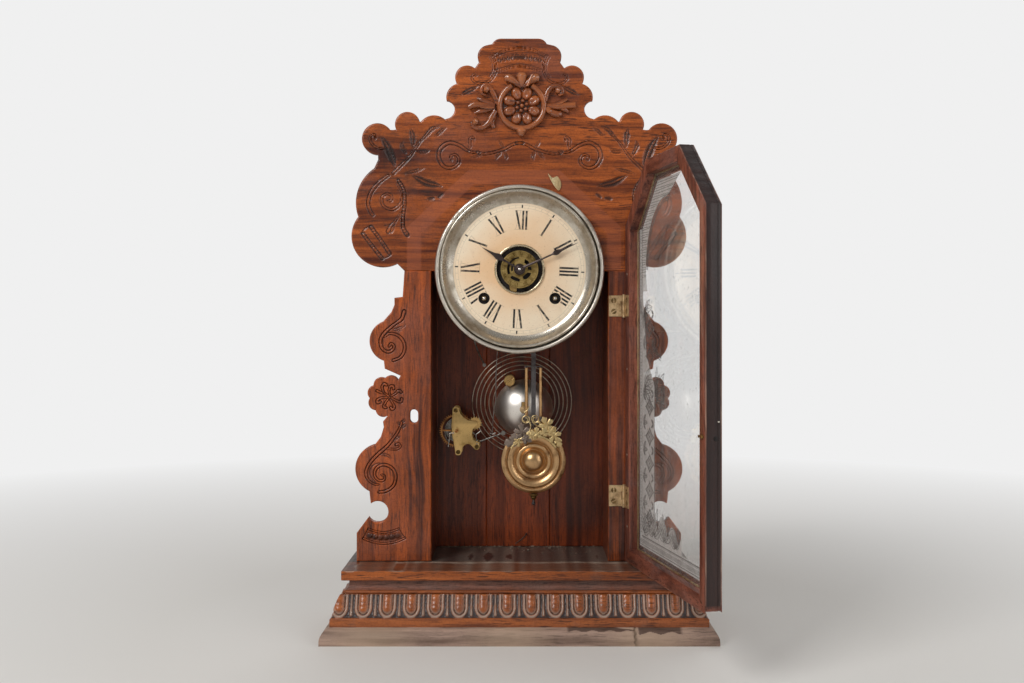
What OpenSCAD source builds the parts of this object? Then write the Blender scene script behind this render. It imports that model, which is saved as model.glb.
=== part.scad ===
// Pressed-oak kitchen shelf clock with an eight-day strike movement and an alarm.
// The origin is the middle of the base's footprint on the shelf: +X is the viewer's right,
// +Y is towards the back and +Z is up. The door stands open, as it is at rest.

/* [Case] */
// Height of the whole clock, from the shelf to the crest
clock_h = 565.5; // [540:0.5:620]
// Half the width of the case opening between the stiles
opening_hw = 84.9; // [78:0.1:90]
// Depth of the case from the back of the stiles to the back board
case_depth = 65; // [62:1:90]
// Height of the head board's straight lower edge
head_z = 342.7; // [340:0.1:356]
// Thickness of the pressed front boards
front_t = 8; // [6:0.5:12]
// Thickness of the case sides and roof
side_t = 12; // [8:0.5:16]
// Thickness of the back board
back_t = 7; // [4:0.5:10]
// Height of the top of the case's roof
roof_z = 440; // [436:1:460]

/* [Base] */
// Width of the foot moulding at the shelf
foot_w = 363.4; // [340:0.2:420]
// Height of the foot moulding
foot_h = 15; // [12:0.5:22]
// Height of the underside of the base's top board
board_z = 55.5; // [50:0.5:64]
// Thickness of the base's top board
board_t = 8.9; // [6:0.1:12]
// How far the base stands in front of the case front
base_reach = 60; // [54:1:70]
// How far the top board's edge is set back from the foot
board_back = 17.7; // [14:0.1:20]
// Thickness of the base mouldings, measured back from the foot
base_wall = 34; // [30:1:40]
// Number of eggs along the front
eggs = 14; // [8:1:20]
// Half the width of an egg
egg_r = 5.4; // [3:0.1:6]

/* [Door] */
// Height of the door's lower edge
door_z0 = 65.6; // [65:0.1:70]
// Height of the door's top edge
door_z1 = 439.5; // [438:0.5:470]
// Height of the door's shoulders, where the sloping rails start
door_shoulder_z = 384.5; // [376:0.5:390]
// Distance from the hinge pin to the door's free edge
door_w = 208; // [206:0.5:214]
// Width of the flat at the door's top
door_top_w = 87; // [80:1:100]
// Thickness of the door frame
door_t = 14; // [13:0.5:18]
// Width of the door's rails and stiles
rail_w = 13.5; // [11:0.5:14.5]
// Thickness of the front lip that holds the glass
lip_t = 3; // [2:0.5:4]
// How far the lip reaches in past the rails
lip_w = 4.5; // [3:0.5:6]
// Thickness of the door glass
glass_t = 2; // [1.5:0.1:3]
// Width of the beads that hold the glass in
bead_w = 0.9; // [1:0.1:2]
// Angle at which the door stands open
door_open = 102.3; // [60:0.1:103]

/* [Hinges and latch] */
// Height of a hinge
hinge_h = 20; // [14:0.5:26]
// Width of a hinge leaf
leaf_w = 14.5; // [10:0.5:15.5]
// Thickness of a hinge leaf
leaf_t = 1; // [0.8:0.1:1]
// Radius of a hinge knuckle
knuckle_r = 2.2; // [2.1:0.1:2.3]
// Radius of a hinge pin
pin_r = 1.2; // [1:0.1:1.3]
// Heights of the middles of the hinges
hinge_zs = [127.5, 309];
// Height of the latch
latch_z = 203.4; // [150:0.1:250]
// Radius of the latch button
button_r = 4.2; // [3:0.1:5]

/* [Dial and hands] */
// Height of the dial's middle
dial_z = 344; // [343:0.5:346]
// Outer radius of the dial pan
dial_r = 80.6; // [76:0.5:81]
// Radius of the printed dial
paper_r = 64.5; // [60:0.5:66]
// How far the dial pan's rim stands out from the head board
rim_d = 10.6; // [8:0.1:10.6]
// Inner radius of the ring round the dial's middle
ring_r = 21.7; // [20:0.1:24]
// Radius of the alarm disc
alarm_disc_r = 18; // [14:0.5:19.5]
// Radius of a winding hole
wind_hole_r = 5.5; // [4:0.1:7]
// Length of the minute hand
minute_len = 61; // [50:1:63]
// Length of the hour hand
hour_len = 41; // [30:1:48]
// Direction of the minute hand, clockwise from twelve
minute_at = 65.6; // [0:0.1:360]
// Direction of the hour hand, clockwise from twelve
hour_at = 300.5; // [0:0.1:360]

/* [Movement] */
// Distance between the movement plates
plate_gap = 32.5; // [31:0.5:34]
// Thickness of a movement plate
plate_t = 1.5; // [1:0.1:2]
// Distance of the front plate's face behind the stiles' backs
plate_in = 10; // [9:0.5:11]
// How far a winding arbor lies to the side of the dial's middle
wind_x = 34; // [33:0.1:35]
// How far a winding arbor lies below the dial's middle
wind_drop = 27.7; // [27:0.1:29]
// Teeth of a great wheel
great_n = 72; // [72:2:74]
// Teeth of a second wheel
second_n = 64; // [62:2:66]
// Teeth of the centre wheel
centre_n = 70; // [68:2:70]
// Teeth of the third wheel
third_n = 63; // [60:1:63]
// Teeth of the escape wheel
escape_n = 42; // [36:1:45]
// Teeth of the strike's third wheel
strike_n = 56; // [50:2:58]
// Leaves of a large pinion
leaves = 8; // [8:1:8]
// Leaves of a small pinion
small_leaves = 7; // [7:1:7]
// Module of the great wheels
great_m = 0.7; // [0.68:0.01:0.71]
// Module of the second wheels
second_m = 0.6; // [0.58:0.01:0.61]
// Module of the upper wheels
upper_m = 0.45; // [0.44:0.01:0.46]
// Radius of the escape wheel
escape_r = 12; // [11:0.1:12.5]
// Radius of an arbor between the plates
arbor_r = 0.8; // [0.7:0.05:0.8]
// Radius of a pivot
pivot_r = 0.6; // [0.5:0.05:0.6]
// Radial play of a pivot or pipe in its hole
play = 0.05; // [0.03:0.01:0.1]

/* [Pendulum] */
// How far the pendulum hangs to the side of the dial's middle
pendulum_x = 13.5; // [13:0.1:14]
// Height of the pendulum's bend above the dial's middle
bend_up = 44; // [43:0.5:46]
// Height of the bob's middle
bob_z = 159.5; // [150:0.5:175]
// Radius of the bob
bob_r = 31.3; // [26:0.1:33]
// Width of the suspension rod
rod_w = 4.4; // [3:0.1:5]

/* [Gong and bell] */
// Middle of the gong coil, across and up
gong_at = [3.3, 212.9];
// Innermost radius of the gong coil
gong_r = 29.6; // [29:0.1:30.5]
// Turns of the gong coil
gong_turns = 5.5; // [3.5:0.5:5.5]
// Distance from one turn of the gong to the next
gong_pitch = 4.2; // [3.6:0.1:4.3]
// Diameter of the gong wire
gong_wire = 1.3; // [1:0.1:1.6]
// Middle of the alarm bell, across and up
bell_at = [4.3, 207.5];
// Radius of the alarm bell
bell_r = 29; // [24:0.5:30]

/* [Alarm] */
// Middle of the alarm's great wheel, across and up
alarm_at = [-62.5, 186];
// Teeth of the alarm's great wheel
alarm_n = 48; // [44:2:48]
// Distance between the alarm's plates
alarm_gap = 18.5; // [18:0.5:19]

/* [Hidden] */
$fn = 48;

slack = 0.3;     // gap between pieces that turn or lie past each other
joint_gap = 0.4; // gap between the closed leaves of a hinge
oak = "#7a3b1d";
dark_oak = "#4c2314";
worn_oak = "#6b5a4b";
brass = "#b08d45";
dull_brass = "#8a7440";
steel = "#80838a";
nickel = "#c9c9c6";
cream = "#e8dcc0";

// The clock's faces, from front to back
base_d = base_reach + front_t + case_depth + back_t;
foot_y = -base_d / 2;
face_y = foot_y + base_reach;
box_y = face_y + front_t;
back_y = box_y + case_depth;
rear_y = base_d / 2;
floor_z = board_z + board_t;
case_hw = opening_hw + side_t;

// Where the hinges' line stands, and the door that turns on it
pin_x = opening_hw + leaf_w + 0.6;
pin_y = face_y - 2 * leaf_t - joint_gap;
hinge_edge = knuckle_r + slack;
latch_u = door_w - rail_w / 2;
glass_y = lip_t - door_t;

// The movement's own frame: x to the right, y up and z towards the viewer, from the back plate
move_y = box_y + plate_in + plate_t + plate_gap;
plate_z = plate_gap + plate_t;
face_d = move_y - face_y;
foot_len = back_y - move_y - plate_t;

function polar(r, a) = [r * cos(a), r * sin(a)];
function arc(c, r, a0, a1, n) = [for (i = [0:n]) c + polar(r, a0 + (a1 - a0) * i / n)];
function flip(p) = [for (i = [len(p) - 1:-1:0]) [-p[i][0], p[i][1]]];
function leftward(v) = [-v[1], v[0]] / norm(v);
function angle_of(v) = atan2(v[1], v[0]);

// An anticlockwise outline drawn in by w
function inset(p, w) = [for (i = [0:len(p) - 1])
    let (k = len(p), b = p[i], n0 = leftward(b - p[(i + k - 1) % k]), n1 = leftward(p[(i + 1) % k] - b))
    b + (n0 + n1) * w / (1 + n0 * n1)];

// The point at distance ra from a and rb from b, to the left of the way from a to b
function corner(a, b, ra, rb) =
    let (d = norm(b - a), along = (ra * ra - rb * rb + d * d) / (2 * d), u = (b - a) / d)
    a + u * along + leftward(u) * sqrt(ra * ra - along * along);

// The outline of a toothed wheel: n teeth of module m, with the tip of one at angle at
function teeth(n, m, at, tip, root, thick) = [for (i = [0:n - 1])
    let (a = at + i * 360 / n, w = 180 / n * thick, r = n * m / 2)
    each [polar(r - root * m, a - w * 1.3), polar(r + tip * m * 0.4, a - w * 0.9), polar(r + tip * m, a - w * 0.4),
        polar(r + tip * m, a + w * 0.4), polar(r + tip * m * 0.4, a + w * 0.9), polar(r - root * m, a + w * 1.3)]];
// Where a wheel's tooth points when it meshes with another wheel whose tooth points at a0
function mesh(way, a0, n0, n1) = way + 180 + 180 / n1 - (a0 - way) * n0 / n1;

// The outline of a pinion, whose leaves have straight sides
function pinion_leaves(n, m, at) = [for (i = [0:n - 1])
    let (a = at + i * 360 / n, w = 180 / n, r = n * m / 2)
    each [polar(r - m * 1.35, a - w * 0.45), polar(r + m * 0.3, a - w * 0.28), polar(r + m * 0.7, a - w * 0.12),
        polar(r + m * 0.7, a + w * 0.12), polar(r + m * 0.3, a + w * 0.28), polar(r - m * 1.35, a + w * 0.45)]];

// The half outline of the head board, from the middle of the crest down to its lower edge
head_half = concat([[0, clock_h]],
    arc([18, clock_h - 9], 9, 90, 25, 4),
    arc([29.2, clock_h - 17.1], 11, 80, -30, 8),
    arc([50.3, clock_h - 37.2], 11.5, 130, -30, 10),
    arc([56.9, clock_h - 56.4], 13.4, 77, -15, 7),
    arc([71.2, clock_h - 67.9], 9, 100, 262, 10),
    arc([82, clock_h - 89.5], 16, 131, 38, 7),
    arc([107.5, clock_h - 82.2], 12, 168, -25, 10),
    [[121.4, clock_h - 87.7]],
    arc([136.2, clock_h - 96.1], 15, 145, -92, 14),
    [[135.6, clock_h - 116.1]],
    arc([117, clock_h - 157.5], 40, 56, -19, 12),
    arc([131.5, clock_h - 189.5], 29.7, 39, -118, 16),
    [[110.4, head_z]]);

// The half outline of a stile's outer edge, from its top down to the base
rosette = [125.7, 222.2];
stile_edge = concat([[110.4, head_z], [112.1, 317.9], [120, 316.9], [120, 310.1], [122.9, 303.3]],
    arc([123.9, 275.5], 20, 70, -72, 14),
    [[129.3, 249], [114.1, 242.2]],
    [for (a = [100:-42:-70]) each arc(rosette + polar(13.2, a), 7.4, a + 58, a - 58, 5)],
    [[131, 198.2], [130.2, 193.1], [133, 183.7]],
    arc([133.5, 153], 24, 78, -64, 14),
    [[142.9, 121.5]],
    arc([136, 111.8], 10.2, 50, 330, 16),
    [[156.2, 91.4], [156.2, floor_z]]);

// The door's outline when it is closed, across from the hinge pin and up
door_mid = -(door_w + hinge_edge) / 2;
door_edge = [[-hinge_edge, door_z0], [-hinge_edge, door_shoulder_z], [door_mid + door_top_w / 2, door_z1],
    [door_mid - door_top_w / 2, door_z1], [-door_w, door_shoulder_z], [-door_w, door_z0]];
door_inner = inset(door_edge, rail_w);
lip_inner = inset(door_edge, rail_w + lip_w);
bead_inner = inset(door_edge, rail_w + bead_w);

// An upright board: its outline stands in the X-Z plane and it reaches t forwards from y
module upright(y, t) translate([0, y, 0]) rotate([90, 0, 0]) linear_extrude(t) children();
module movement() translate([0, move_y, dial_z]) rotate([90, 0, 0]) children();
module on_door() translate([pin_x, pin_y, 0]) rotate([0, 0, door_open]) children();
module at_z(z) translate([0, 0, z]) children();
module rod(p, z0, z1, r) translate([p[0], p[1], z0]) cylinder(h = z1 - z0, r = r);

// ---- The base ----
band_z0 = foot_h + 8;
band_z1 = board_z - 12.5;
bead_z1 = board_z - 9.5;
band_s0 = 9.5;
band_s1 = 18.7;
foot_profile = concat([[base_wall, 0], [0, 0]],
    arc([foot_h - 3.5, 3.5], foot_h - 3.5, 180, 107, 6), [[8.5, foot_h], [base_wall, foot_h]]);
egg_profile = concat([[base_wall, foot_h], [8.5, foot_h], [8.5, band_z0 - 1], [band_s0, band_z0],
    [band_s1, band_z1]], arc([band_s1 + 1.5, (band_z1 + bead_z1) / 2], (bead_z1 - band_z1) / 2, 250, 110, 6),
    [[base_wall, bead_z1]]);
cove_profile = concat([[base_wall, bead_z1], [21, bead_z1]],
    arc([19.2, bead_z1 + 5], 5, -62, 0, 5), [[24.2, board_z], [base_wall, board_z]]);

module front_run(profile) intersection() {
    translate([-foot_w / 2, foot_y, 0]) rotate([90, 0, 90]) linear_extrude(foot_w) polygon(profile);
    linear_extrude(board_z + 1) polygon([[-foot_w / 2, foot_y], [foot_w / 2, foot_y],
        [foot_w / 2 - base_wall, foot_y + base_wall], [base_wall - foot_w / 2, foot_y + base_wall]]);
}
module side_run(profile) intersection() {
    translate([foot_w / 2, rear_y, 0]) rotate([90, 0, 0]) mirror([1, 0, 0])
        linear_extrude(base_d) polygon(profile);
    linear_extrude(board_z + 1) polygon([[foot_w / 2, foot_y], [foot_w / 2, rear_y],
        [foot_w / 2 - base_wall, rear_y], [foot_w / 2 - base_wall, foot_y + base_wall]]);
}
module mitred(profile) {
    front_run(profile);
    side_run(profile);
    mirror([1, 0, 0]) side_run(profile);
}
// An egg with pointed ends, standing up, as wide as 2 * egg_r
egg_h = 7.6;
egg_sink = 2.4;
egg_end = 27.7;
egg_pitch = (foot_w - 2 * egg_end) / eggs;
egg_lean = atan2(band_s1 - band_s0, band_z1 - band_z0);
module egg() {
    r = (egg_h * egg_h + egg_r * egg_r) / (2 * egg_r);
    rotate_extrude() intersection() {
        translate([egg_r - r, 0]) circle(r);
        translate([0, -egg_h]) square([2 * egg_r, 2 * egg_h]);
    }
}
module egg_row(count) for (i = [0:count - 1])
    translate([(i + 0.5) * egg_pitch, (band_s0 + band_s1) / 2 + egg_sink, (band_z0 + band_z1) / 2])
        rotate([-egg_lean, 0, 0]) egg();

module foot_molding() color(worn_oak) mitred(foot_profile);
module egg_molding() color(dark_oak) {
    side_eggs = floor((base_d - egg_end) / egg_pitch);
    union() {
        front_run(egg_profile);
        translate([-foot_w / 2 + egg_end, foot_y, 0]) egg_row(eggs);
    }
    for (s = [0, 1]) mirror([s, 0, 0]) union() {
        side_run(egg_profile);
        translate([foot_w / 2, foot_y + egg_end, 0]) rotate([0, 0, 90]) egg_row(side_eggs);
    }
}
module cove_molding() color(dark_oak) mitred(cove_profile);
module base_rear_rail() color(oak)
    translate([base_wall - foot_w / 2, rear_y - side_t, 0]) cube([foot_w - 2 * base_wall, side_t, board_z]);
module base_top_board() color(oak)
    translate([board_back - foot_w / 2, foot_y + board_back, board_z])
        cube([foot_w - 2 * board_back, base_d - board_back, board_t]);

// ---- The case ----
latch_hole = [8, 13];
arch_r = dial_r - 11;
module case_box() color(oak) {
    for (s = [0, 1]) mirror([s, 0, 0])
        translate([opening_hw, box_y, floor_z]) cube([side_t, case_depth, roof_z - side_t - floor_z]);
    translate([-case_hw, box_y, roof_z - side_t]) cube([2 * case_hw, case_depth, side_t]);
}
module back_board() color(dark_oak)
    translate([-case_hw, back_y, floor_z]) cube([2 * case_hw, back_t, roof_z - floor_z]);
module stile() upright(box_y, front_t)
    polygon(concat([[opening_hw, floor_z], [opening_hw, head_z]], stile_edge));
module left_stile() color(oak) difference() {
    mirror([1, 0, 0]) stile();
    translate([pin_x - latch_u, box_y + 1, latch_z]) rotate([90, 0, 0]) linear_extrude(front_t + 2) union() {
        for (s = [-1, 1]) translate([0, s * (latch_hole[1] - latch_hole[0]) / 2]) circle(latch_hole[0] / 2);
        square([latch_hole[0], latch_hole[1] - latch_hole[0]], center = true);
    }
}
module right_stile() color(oak) stile();
module head_board() color(oak) difference() {
    upright(box_y, front_t) polygon(concat(head_half, flip(head_half)));
    translate([0, box_y + 1, dial_z]) rotate([90, 0, 0]) cylinder(h = front_t + 2, r = arch_r);
}

// The crest's applied carving: a ring of petals round a boss, with a scroll and a leaf to each side
crest_at = [2.2, clock_h - 64];
petal_r = 3.8;
crest_hw = 54;
module side_scroll(s) translate([s * 33, 0, 0]) union() {
    linear_extrude(3) polygon([[-10 * s, -7], [10 * s, -12], [16 * s, -4], [20 * s, 2], [10 * s, 3],
        [12 * s, 12], [2 * s, 16], [-10 * s, 9]]);
    translate([0, 10, 0]) cylinder(h = 5, r = 5.5);
    translate([-s, -10, 0]) cylinder(h = 5, r = 5);
}
module crest_ornament() color(dark_oak)
    translate([crest_at[0], face_y, crest_at[1]]) rotate([90, 0, 0]) intersection() {
        union() {
            rotate_extrude() translate([20.6, 0]) circle(3.2);
            cylinder(h = 1.6, r = 20);
            for (a = [0:45:315]) rotate(a) translate([12.4, 0, 1.2]) sphere(r = petal_r);
            sphere(r = 6.2);
            for (s = [-1, 1]) side_scroll(s);
            translate([0, 27, 0]) cylinder(h = 4, r = 6);
            translate([0, -25, 0]) cylinder(h = 4, r = 5.2);
        }
        translate([-crest_hw, -crest_hw, 0]) cube([2 * crest_hw, 2 * crest_hw, 10]);
    }

// ---- The door, drawn closed and then swung open on its pins ----
// One side of the frame between the outline's corners i and i + 1, mitred at both ends
module side_of(outer, inner, i) {
    j = (i + 1) % len(outer);
    polygon([outer[i], outer[j], inner[j], inner[i]]);
}
module rail(i) {
    upright(0, door_t - lip_t) side_of(door_edge, door_inner, i);
    upright(lip_t - door_t, lip_t) side_of(door_edge, lip_inner, i);
}
module at_hinges() for (z = hinge_zs) translate([0, 0, z - hinge_h / 2]) children();
knuckle_end = hinge_h * 0.3; // height of each outer knuckle
module door_hinge_stile() color(oak) on_door() rail(0);
module door_free_stile() color(oak) on_door() difference() {
    rail(4);
    translate([-latch_u, 1, latch_z]) rotate([90, 0, 0]) cylinder(h = door_t + 2, r = spindle_r + play);
    translate([-latch_u, button_t + slack - door_t, latch_z]) rotate([90, 0, 0]) cylinder(h = 5, r = button_r + play);
}
module door_bottom_rail() color(oak) on_door() rail(5);
module door_arch_rails() color(oak) on_door() for (i = [1:3]) rail(i);
module door_glass() color("lightblue", 0.35) on_door()
    upright(glass_y + glass_t, glass_t) polygon(inset(door_edge, rail_w + slack));
module glass_beads() color(dark_oak) on_door() for (i = [0:5])
    upright(glass_y + glass_t + bead_w, bead_w) side_of(door_inner, bead_inner, i);

module door_hinge_leaves() color(dull_brass) on_door() at_hinges() {
    difference() {
        union() {
            translate([-leaf_w, 0, 0]) cube([leaf_w - hinge_edge, leaf_t, hinge_h]);
            translate([-leaf_w, 0, knuckle_end + slack]) cube([leaf_w - 1, leaf_t, hinge_h - 2 * knuckle_end - 2 * slack]);
            rod([0, 0], knuckle_end + slack, hinge_h - knuckle_end - slack, knuckle_r);
        }
        rod([0, 0], -1, hinge_h + 1, pin_r + play);
    }
}
module frame_hinge_leaves() color(dull_brass) translate([pin_x, 0, 0]) at_hinges() {
    difference() {
        union() {
            translate([-leaf_w, face_y - leaf_t, 0]) cube([leaf_w - hinge_edge, leaf_t, hinge_h]);
            for (z = [0, hinge_h - knuckle_end]) {
                translate([-leaf_w, face_y - leaf_t, z]) cube([leaf_w - 1, leaf_t, knuckle_end]);
                rod([0, pin_y], z, z + knuckle_end, knuckle_r);
            }
        }
        rod([0, pin_y], -1, hinge_h + 1, pin_r + 0.02);
    }
}
module hinge_pins() color(dull_brass) translate([pin_x, pin_y, 0]) at_hinges() {
    rod([0, 0], 0, hinge_h, pin_r);
    for (z = [-1, hinge_h]) rod([0, 0], z, z + 1, pin_r + 0.6);
}

// A slotted button let into the free stile, whose spindle carries a flat tongue for the latch hole
spindle_r = 1.6;
button_t = 1.4;
tongue = [6.6, 2.2, 2]; // across, deep and high
module door_latch() color(brass) on_door() translate([-latch_u, 0, latch_z]) difference() {
    union() {
        rotate([90, 0, 0]) translate([0, 0, -slack - 1]) cylinder(h = door_t + slack, r = spindle_r);
        translate([-tongue[0] / 2, slack, -tongue[2] / 2]) cube(tongue);
        translate([0, button_t - door_t, 0]) rotate([90, 0, 0]) cylinder(h = button_t, r = button_r);
    }
    translate([-button_r - 1, -door_t - 1, -0.5]) cube([2 * button_r + 2, 1.7, 1]);
}

// ---- The dial and hands, in the movement's frame ----
winding_at = [[wind_x, -wind_drop], [-wind_x, -wind_drop]];
ring_w = 2.5;
paper_d = face_d + 1;
paper_t = 0.3;
// Each corner of the tin pan's rim is a share t of the way in from its edge to the paper's edge
rim_draw = 16.1; // the width that the rim's shares are drawn at
function in_from_edge(t) = dial_r - t * (dial_r - paper_r) / rim_draw;
pan_front = concat([for (p = [[0, 0], [0, rim_d - 2], [1, rim_d - 0.4], [2.8, rim_d], [4.4, rim_d - 0.6],
    [5.4, rim_d - 1.8], [6.4, rim_d - 1], [7.8, rim_d - 0.8], [9, rim_d - 1.6], [15.4, 1.4], [16.1, 1]])
    [in_from_edge(p[0]), p[1]]], [[ring_r + ring_w, 1], [ring_r + ring_w, 2.4], [ring_r + ring_w / 2, 3],
    [ring_r, 2.4], [ring_r, 0.2]]);
pan_back = [for (p = [[15.9, 0.2], [9.4, rim_d - 2.6], [7.6, rim_d - 1.7], [6.6, rim_d - 1.9], [5.2, rim_d - 2.8],
    [4, rim_d - 1.6], [2.8, rim_d - 0.9], [1.6, rim_d - 1.2], [1, rim_d - 2.4], [1, 0]]) [in_from_edge(p[0]), p[1]]];
module winding_holes() for (p = winding_at) rod(p, face_d - 1, face_d + 4, wind_hole_r);
module dial_pan() color(nickel) movement() difference() {
    at_z(face_d) rotate_extrude($fn = 96) polygon(concat(pan_front, pan_back));
    winding_holes();
}
module dial_paper() color(cream) movement() difference() {
    rod([0, 0], paper_d, paper_d + paper_t, paper_r - slack);
    rod([0, 0], paper_d - 1, paper_d + 2, ring_r + ring_w);
    winding_holes();
}

hand_t = 0.6;
alarm_d = face_d + 1.6;
hour_d = face_d + 3.4;
minute_d = face_d + 5.4;
pipe_r = 2.3;  // outer radius of the hour pipe
shaft_r = 1.2; // radius of the minute arbor in front of the plates
// A leaf-shaped hand that points up, with its blade widest at bulge
module hand(len, bulge, w, hole) difference() {
    union() {
        cylinder(h = hand_t, r = hole + 2.4);
        linear_extrude(hand_t) polygon(concat([[-1.1, 0], [-0.8, bulge * 0.62]], arc([0, bulge], w, 205, 130, 4),
            [[-0.7, bulge + 2.6 * w], [0, len], [0.7, bulge + 2.6 * w]], arc([0, bulge], w, 50, -25, 4),
            [[0.8, bulge * 0.62], [1.1, 0]]));
    }
    translate([0, 0, -1]) cylinder(h = hand_t + 2, r = hole);
}
module minute_hand() color(steel) movement() {
    at_z(minute_d) rotate(-minute_at) hand(minute_len, 40, 2.4, shaft_r + play);
    difference() { // the collar that holds the hand on its arbor
        rod([0, 0], minute_d + hand_t, minute_d + hand_t + 1.2, 2.6);
        rod([0, 0], minute_d, minute_d + 3, shaft_r + play);
    }
}
module hour_hand() color(steel) movement() at_z(hour_d) rotate(-hour_at) hand(hour_len, 24, 2.6, pipe_r);
// The alarm's setting disc turns stiffly on the hour pipe and shows through the dial's middle
disc_hub_r = 4.6;
module alarm_disc() color(brass) movement() difference() {
    union() {
        difference() {
            rod([0, 0], alarm_d, alarm_d + hand_t, alarm_disc_r);
            for (a = [0:72:288]) rotate(a + 18) at_z(alarm_d - 1) linear_extrude(3)
                polygon(concat(arc([0, 0], alarm_disc_r * 0.64, 10, 62, 6), arc([0, 0], 7, 50, 22, 3)));
        }
        rod([0, 0], face_d - 1.4, alarm_d + hand_t, disc_hub_r);
    }
    rod([0, 0], face_d - 3, face_d + 6, pipe_r + play);
}

// ---- The movement: where its arbors stand ----
time_at = winding_at[0];
strike_at = winding_at[1];
great_reach = great_m * (great_n + leaves) / 2;
second_reach = second_m * (second_n + leaves) / 2;
second_at = corner([0, 0], time_at, second_reach, great_reach);
verge_at = [pendulum_x, bend_up];
escape_at = verge_at - [0, escape_r + 5];
third_at = corner([0, 0], escape_at, upper_m * (centre_n + small_leaves) / 2, upper_m * (third_n + small_leaves) / 2);
pin_at = strike_at + polar(great_reach, 81.8);
strike3_at = pin_at + polar(second_reach, 73.9);
fly_at = strike3_at + polar(upper_m * (strike_n + small_leaves) / 2, 115);
hammer_at = [-wind_x - 17, -wind_drop - 24.3];
pillar_at = [[12, -52], [-12, -52], [54, 54], [-54, 54]];
motion_reach = 12; // from the dial's middle to the minute wheel's stud
cannon_n = 12;
minute_n = 36;
motion_pinion_n = 10;
hour_n = 40;
motion_at = polar(motion_reach, 210);
cannon_m = 2 * motion_reach / (cannon_n + minute_n);
hour_m = 2 * motion_reach / (motion_pinion_n + hour_n);

// Levels of the wheels above the back plate
second_z = plate_gap - 4.2;
centre_z = plate_gap - 8.1;
third_z = plate_gap - 12.8;
escape_z = plate_gap - 17.8;
great_z = plate_gap - 10.5;
strike3_z = plate_gap - 8.8;
motion_z = plate_z + 9;
rod_z = move_y - box_y - 4; // the pendulum rod's plane
wheel_t = 0.8;
great_t = 1.5;
second_t = 1.2;
pinion_t = 2.3;

// The angle at which each wheel's tooth points, so that all are in mesh
second_tooth = mesh(angle_of(second_at - time_at), 0, great_n, leaves);
centre_tooth = mesh(angle_of(-second_at), 0, second_n, leaves);
third_tooth = mesh(angle_of(third_at), 0, centre_n, small_leaves);
escape_tooth = mesh(angle_of(escape_at - third_at), 0, third_n, small_leaves);
pin_tooth = mesh(81.8, 0, great_n, leaves);
strike3_tooth = mesh(73.9, 0, second_n, leaves);
fly_tooth = mesh(115, 0, strike_n, small_leaves);
minute_tooth = mesh(210, 0, cannon_n, minute_n);
hour_tooth = mesh(30, 0, motion_pinion_n, hour_n);

// ---- Movement parts that repeat ----
module flat_bore(r) circle(r, $fn = 12);
// An arbor between the plates, flat-sided so that its wheels can't slip, with a round pivot at each end
module staff() union() {
    at_z(slack) linear_extrude(plate_gap - 2 * slack) flat_bore(arbor_r);
    for (z = [-plate_t - slack, plate_gap - 2 * slack]) rod([0, 0], z, z + plate_t + 3 * slack, pivot_r);
}
module pinion(n, m, at, z, t, bore) at_z(z) linear_extrude(t) difference() {
    polygon(pinion_leaves(n, m, at));
    flat_bore(bore);
}
// A crossed-out wheel: its spokes leave windows between the hub and the rim
module wheel(n, m, z, t, bore, hub, spokes, at = 0, rim_w = 3.2) at_z(z) linear_extrude(t) difference() {
    polygon(teeth(n, m, at, 0.95, 1.25, 0.36));
    flat_bore(bore);
    rim = n * m / 2 - rim_w * m;
    half = 180 / spokes;
    edge = asin(0.8 / rim);
    root = asin(0.8 / hub);
    for (i = [0:spokes - 1]) rotate(i * 2 * half)
        polygon(concat(arc([0, 0], rim, edge, 2 * half - edge, 6), arc([0, 0], hub, 2 * half - root, root, 3)));
}
// A thin round bar from a to b
module bar(a, b, r) {
    v = b - a;
    translate(a) rotate([0, acos(v[2] / norm(v)), atan2(v[1], v[0])]) cylinder(h = norm(v), r = r);
}

wind_r = 2.4;
wind_square = 3.2;
ratchet_r = 9.9;
ratchet_n = 20;
ratchet_z = great_z + great_t + slack;
ratchet_t = 1.3;
collar_r = 6;
module winding_arbor() {
    rod([0, 0], -plate_t - slack, slack, 1.5);
    rod([0, 0], slack, face_d - 4, wind_r);
    at_z(face_d - 4) linear_extrude(6) square(wind_square, center = true);
    at_z(ratchet_z) linear_extrude(ratchet_t) difference() {
        polygon([for (i = [0:ratchet_n - 1]) let (a = 360 / ratchet_n)
            each [polar(ratchet_r, i * a), polar(ratchet_r - 1.6, i * a + 2)]]);
        circle(wind_r);
    }
}
module great_wheel(at) {
    wheel(great_n, great_m, great_z, great_t, collar_r, collar_r + 2.6, 5, at);
    difference() { // the brass collar that turns on the winding arbor
        at_z(great_z - 1) linear_extrude(great_t + 1) flat_bore(collar_r);
        rod([0, 0], 0, plate_gap, wind_r + play);
    }
    at_z(great_z + great_t) linear_extrude(ratchet_t + slack) // the click
        polygon([[17.9, -1.5], [16.5, 1.2], [8.9, 6.9], [8.4, 5.95], [14.2, -1.5], [16, -3]]);
}
// A coiled mainspring, seen end on, whose outer end reaches the pillar at distance reach
spring_turns = 7;
spring_steps = 16;
spring_t = 0.8;
function spring_r(f, r0, r1, reach) = r0 + (r1 - r0) * f + (reach - r1) * pow(max(0, (f - 0.96) / 0.04), 2);
module mainspring(r0, r1, reach, end_at, way) {
    steps = spring_turns * spring_steps;
    linear_extrude(17) polygon(concat(
        [for (i = [0:steps]) polar(spring_r(i / steps, r0, r1, reach) + spring_t / 2,
            end_at - way * (steps - i) * 360 / spring_steps)],
        [for (i = [steps:-1:0]) polar(spring_r(i / steps, r0, r1, reach) - spring_t / 2,
            end_at - way * (steps - i) * 360 / spring_steps)]));
}

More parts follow.
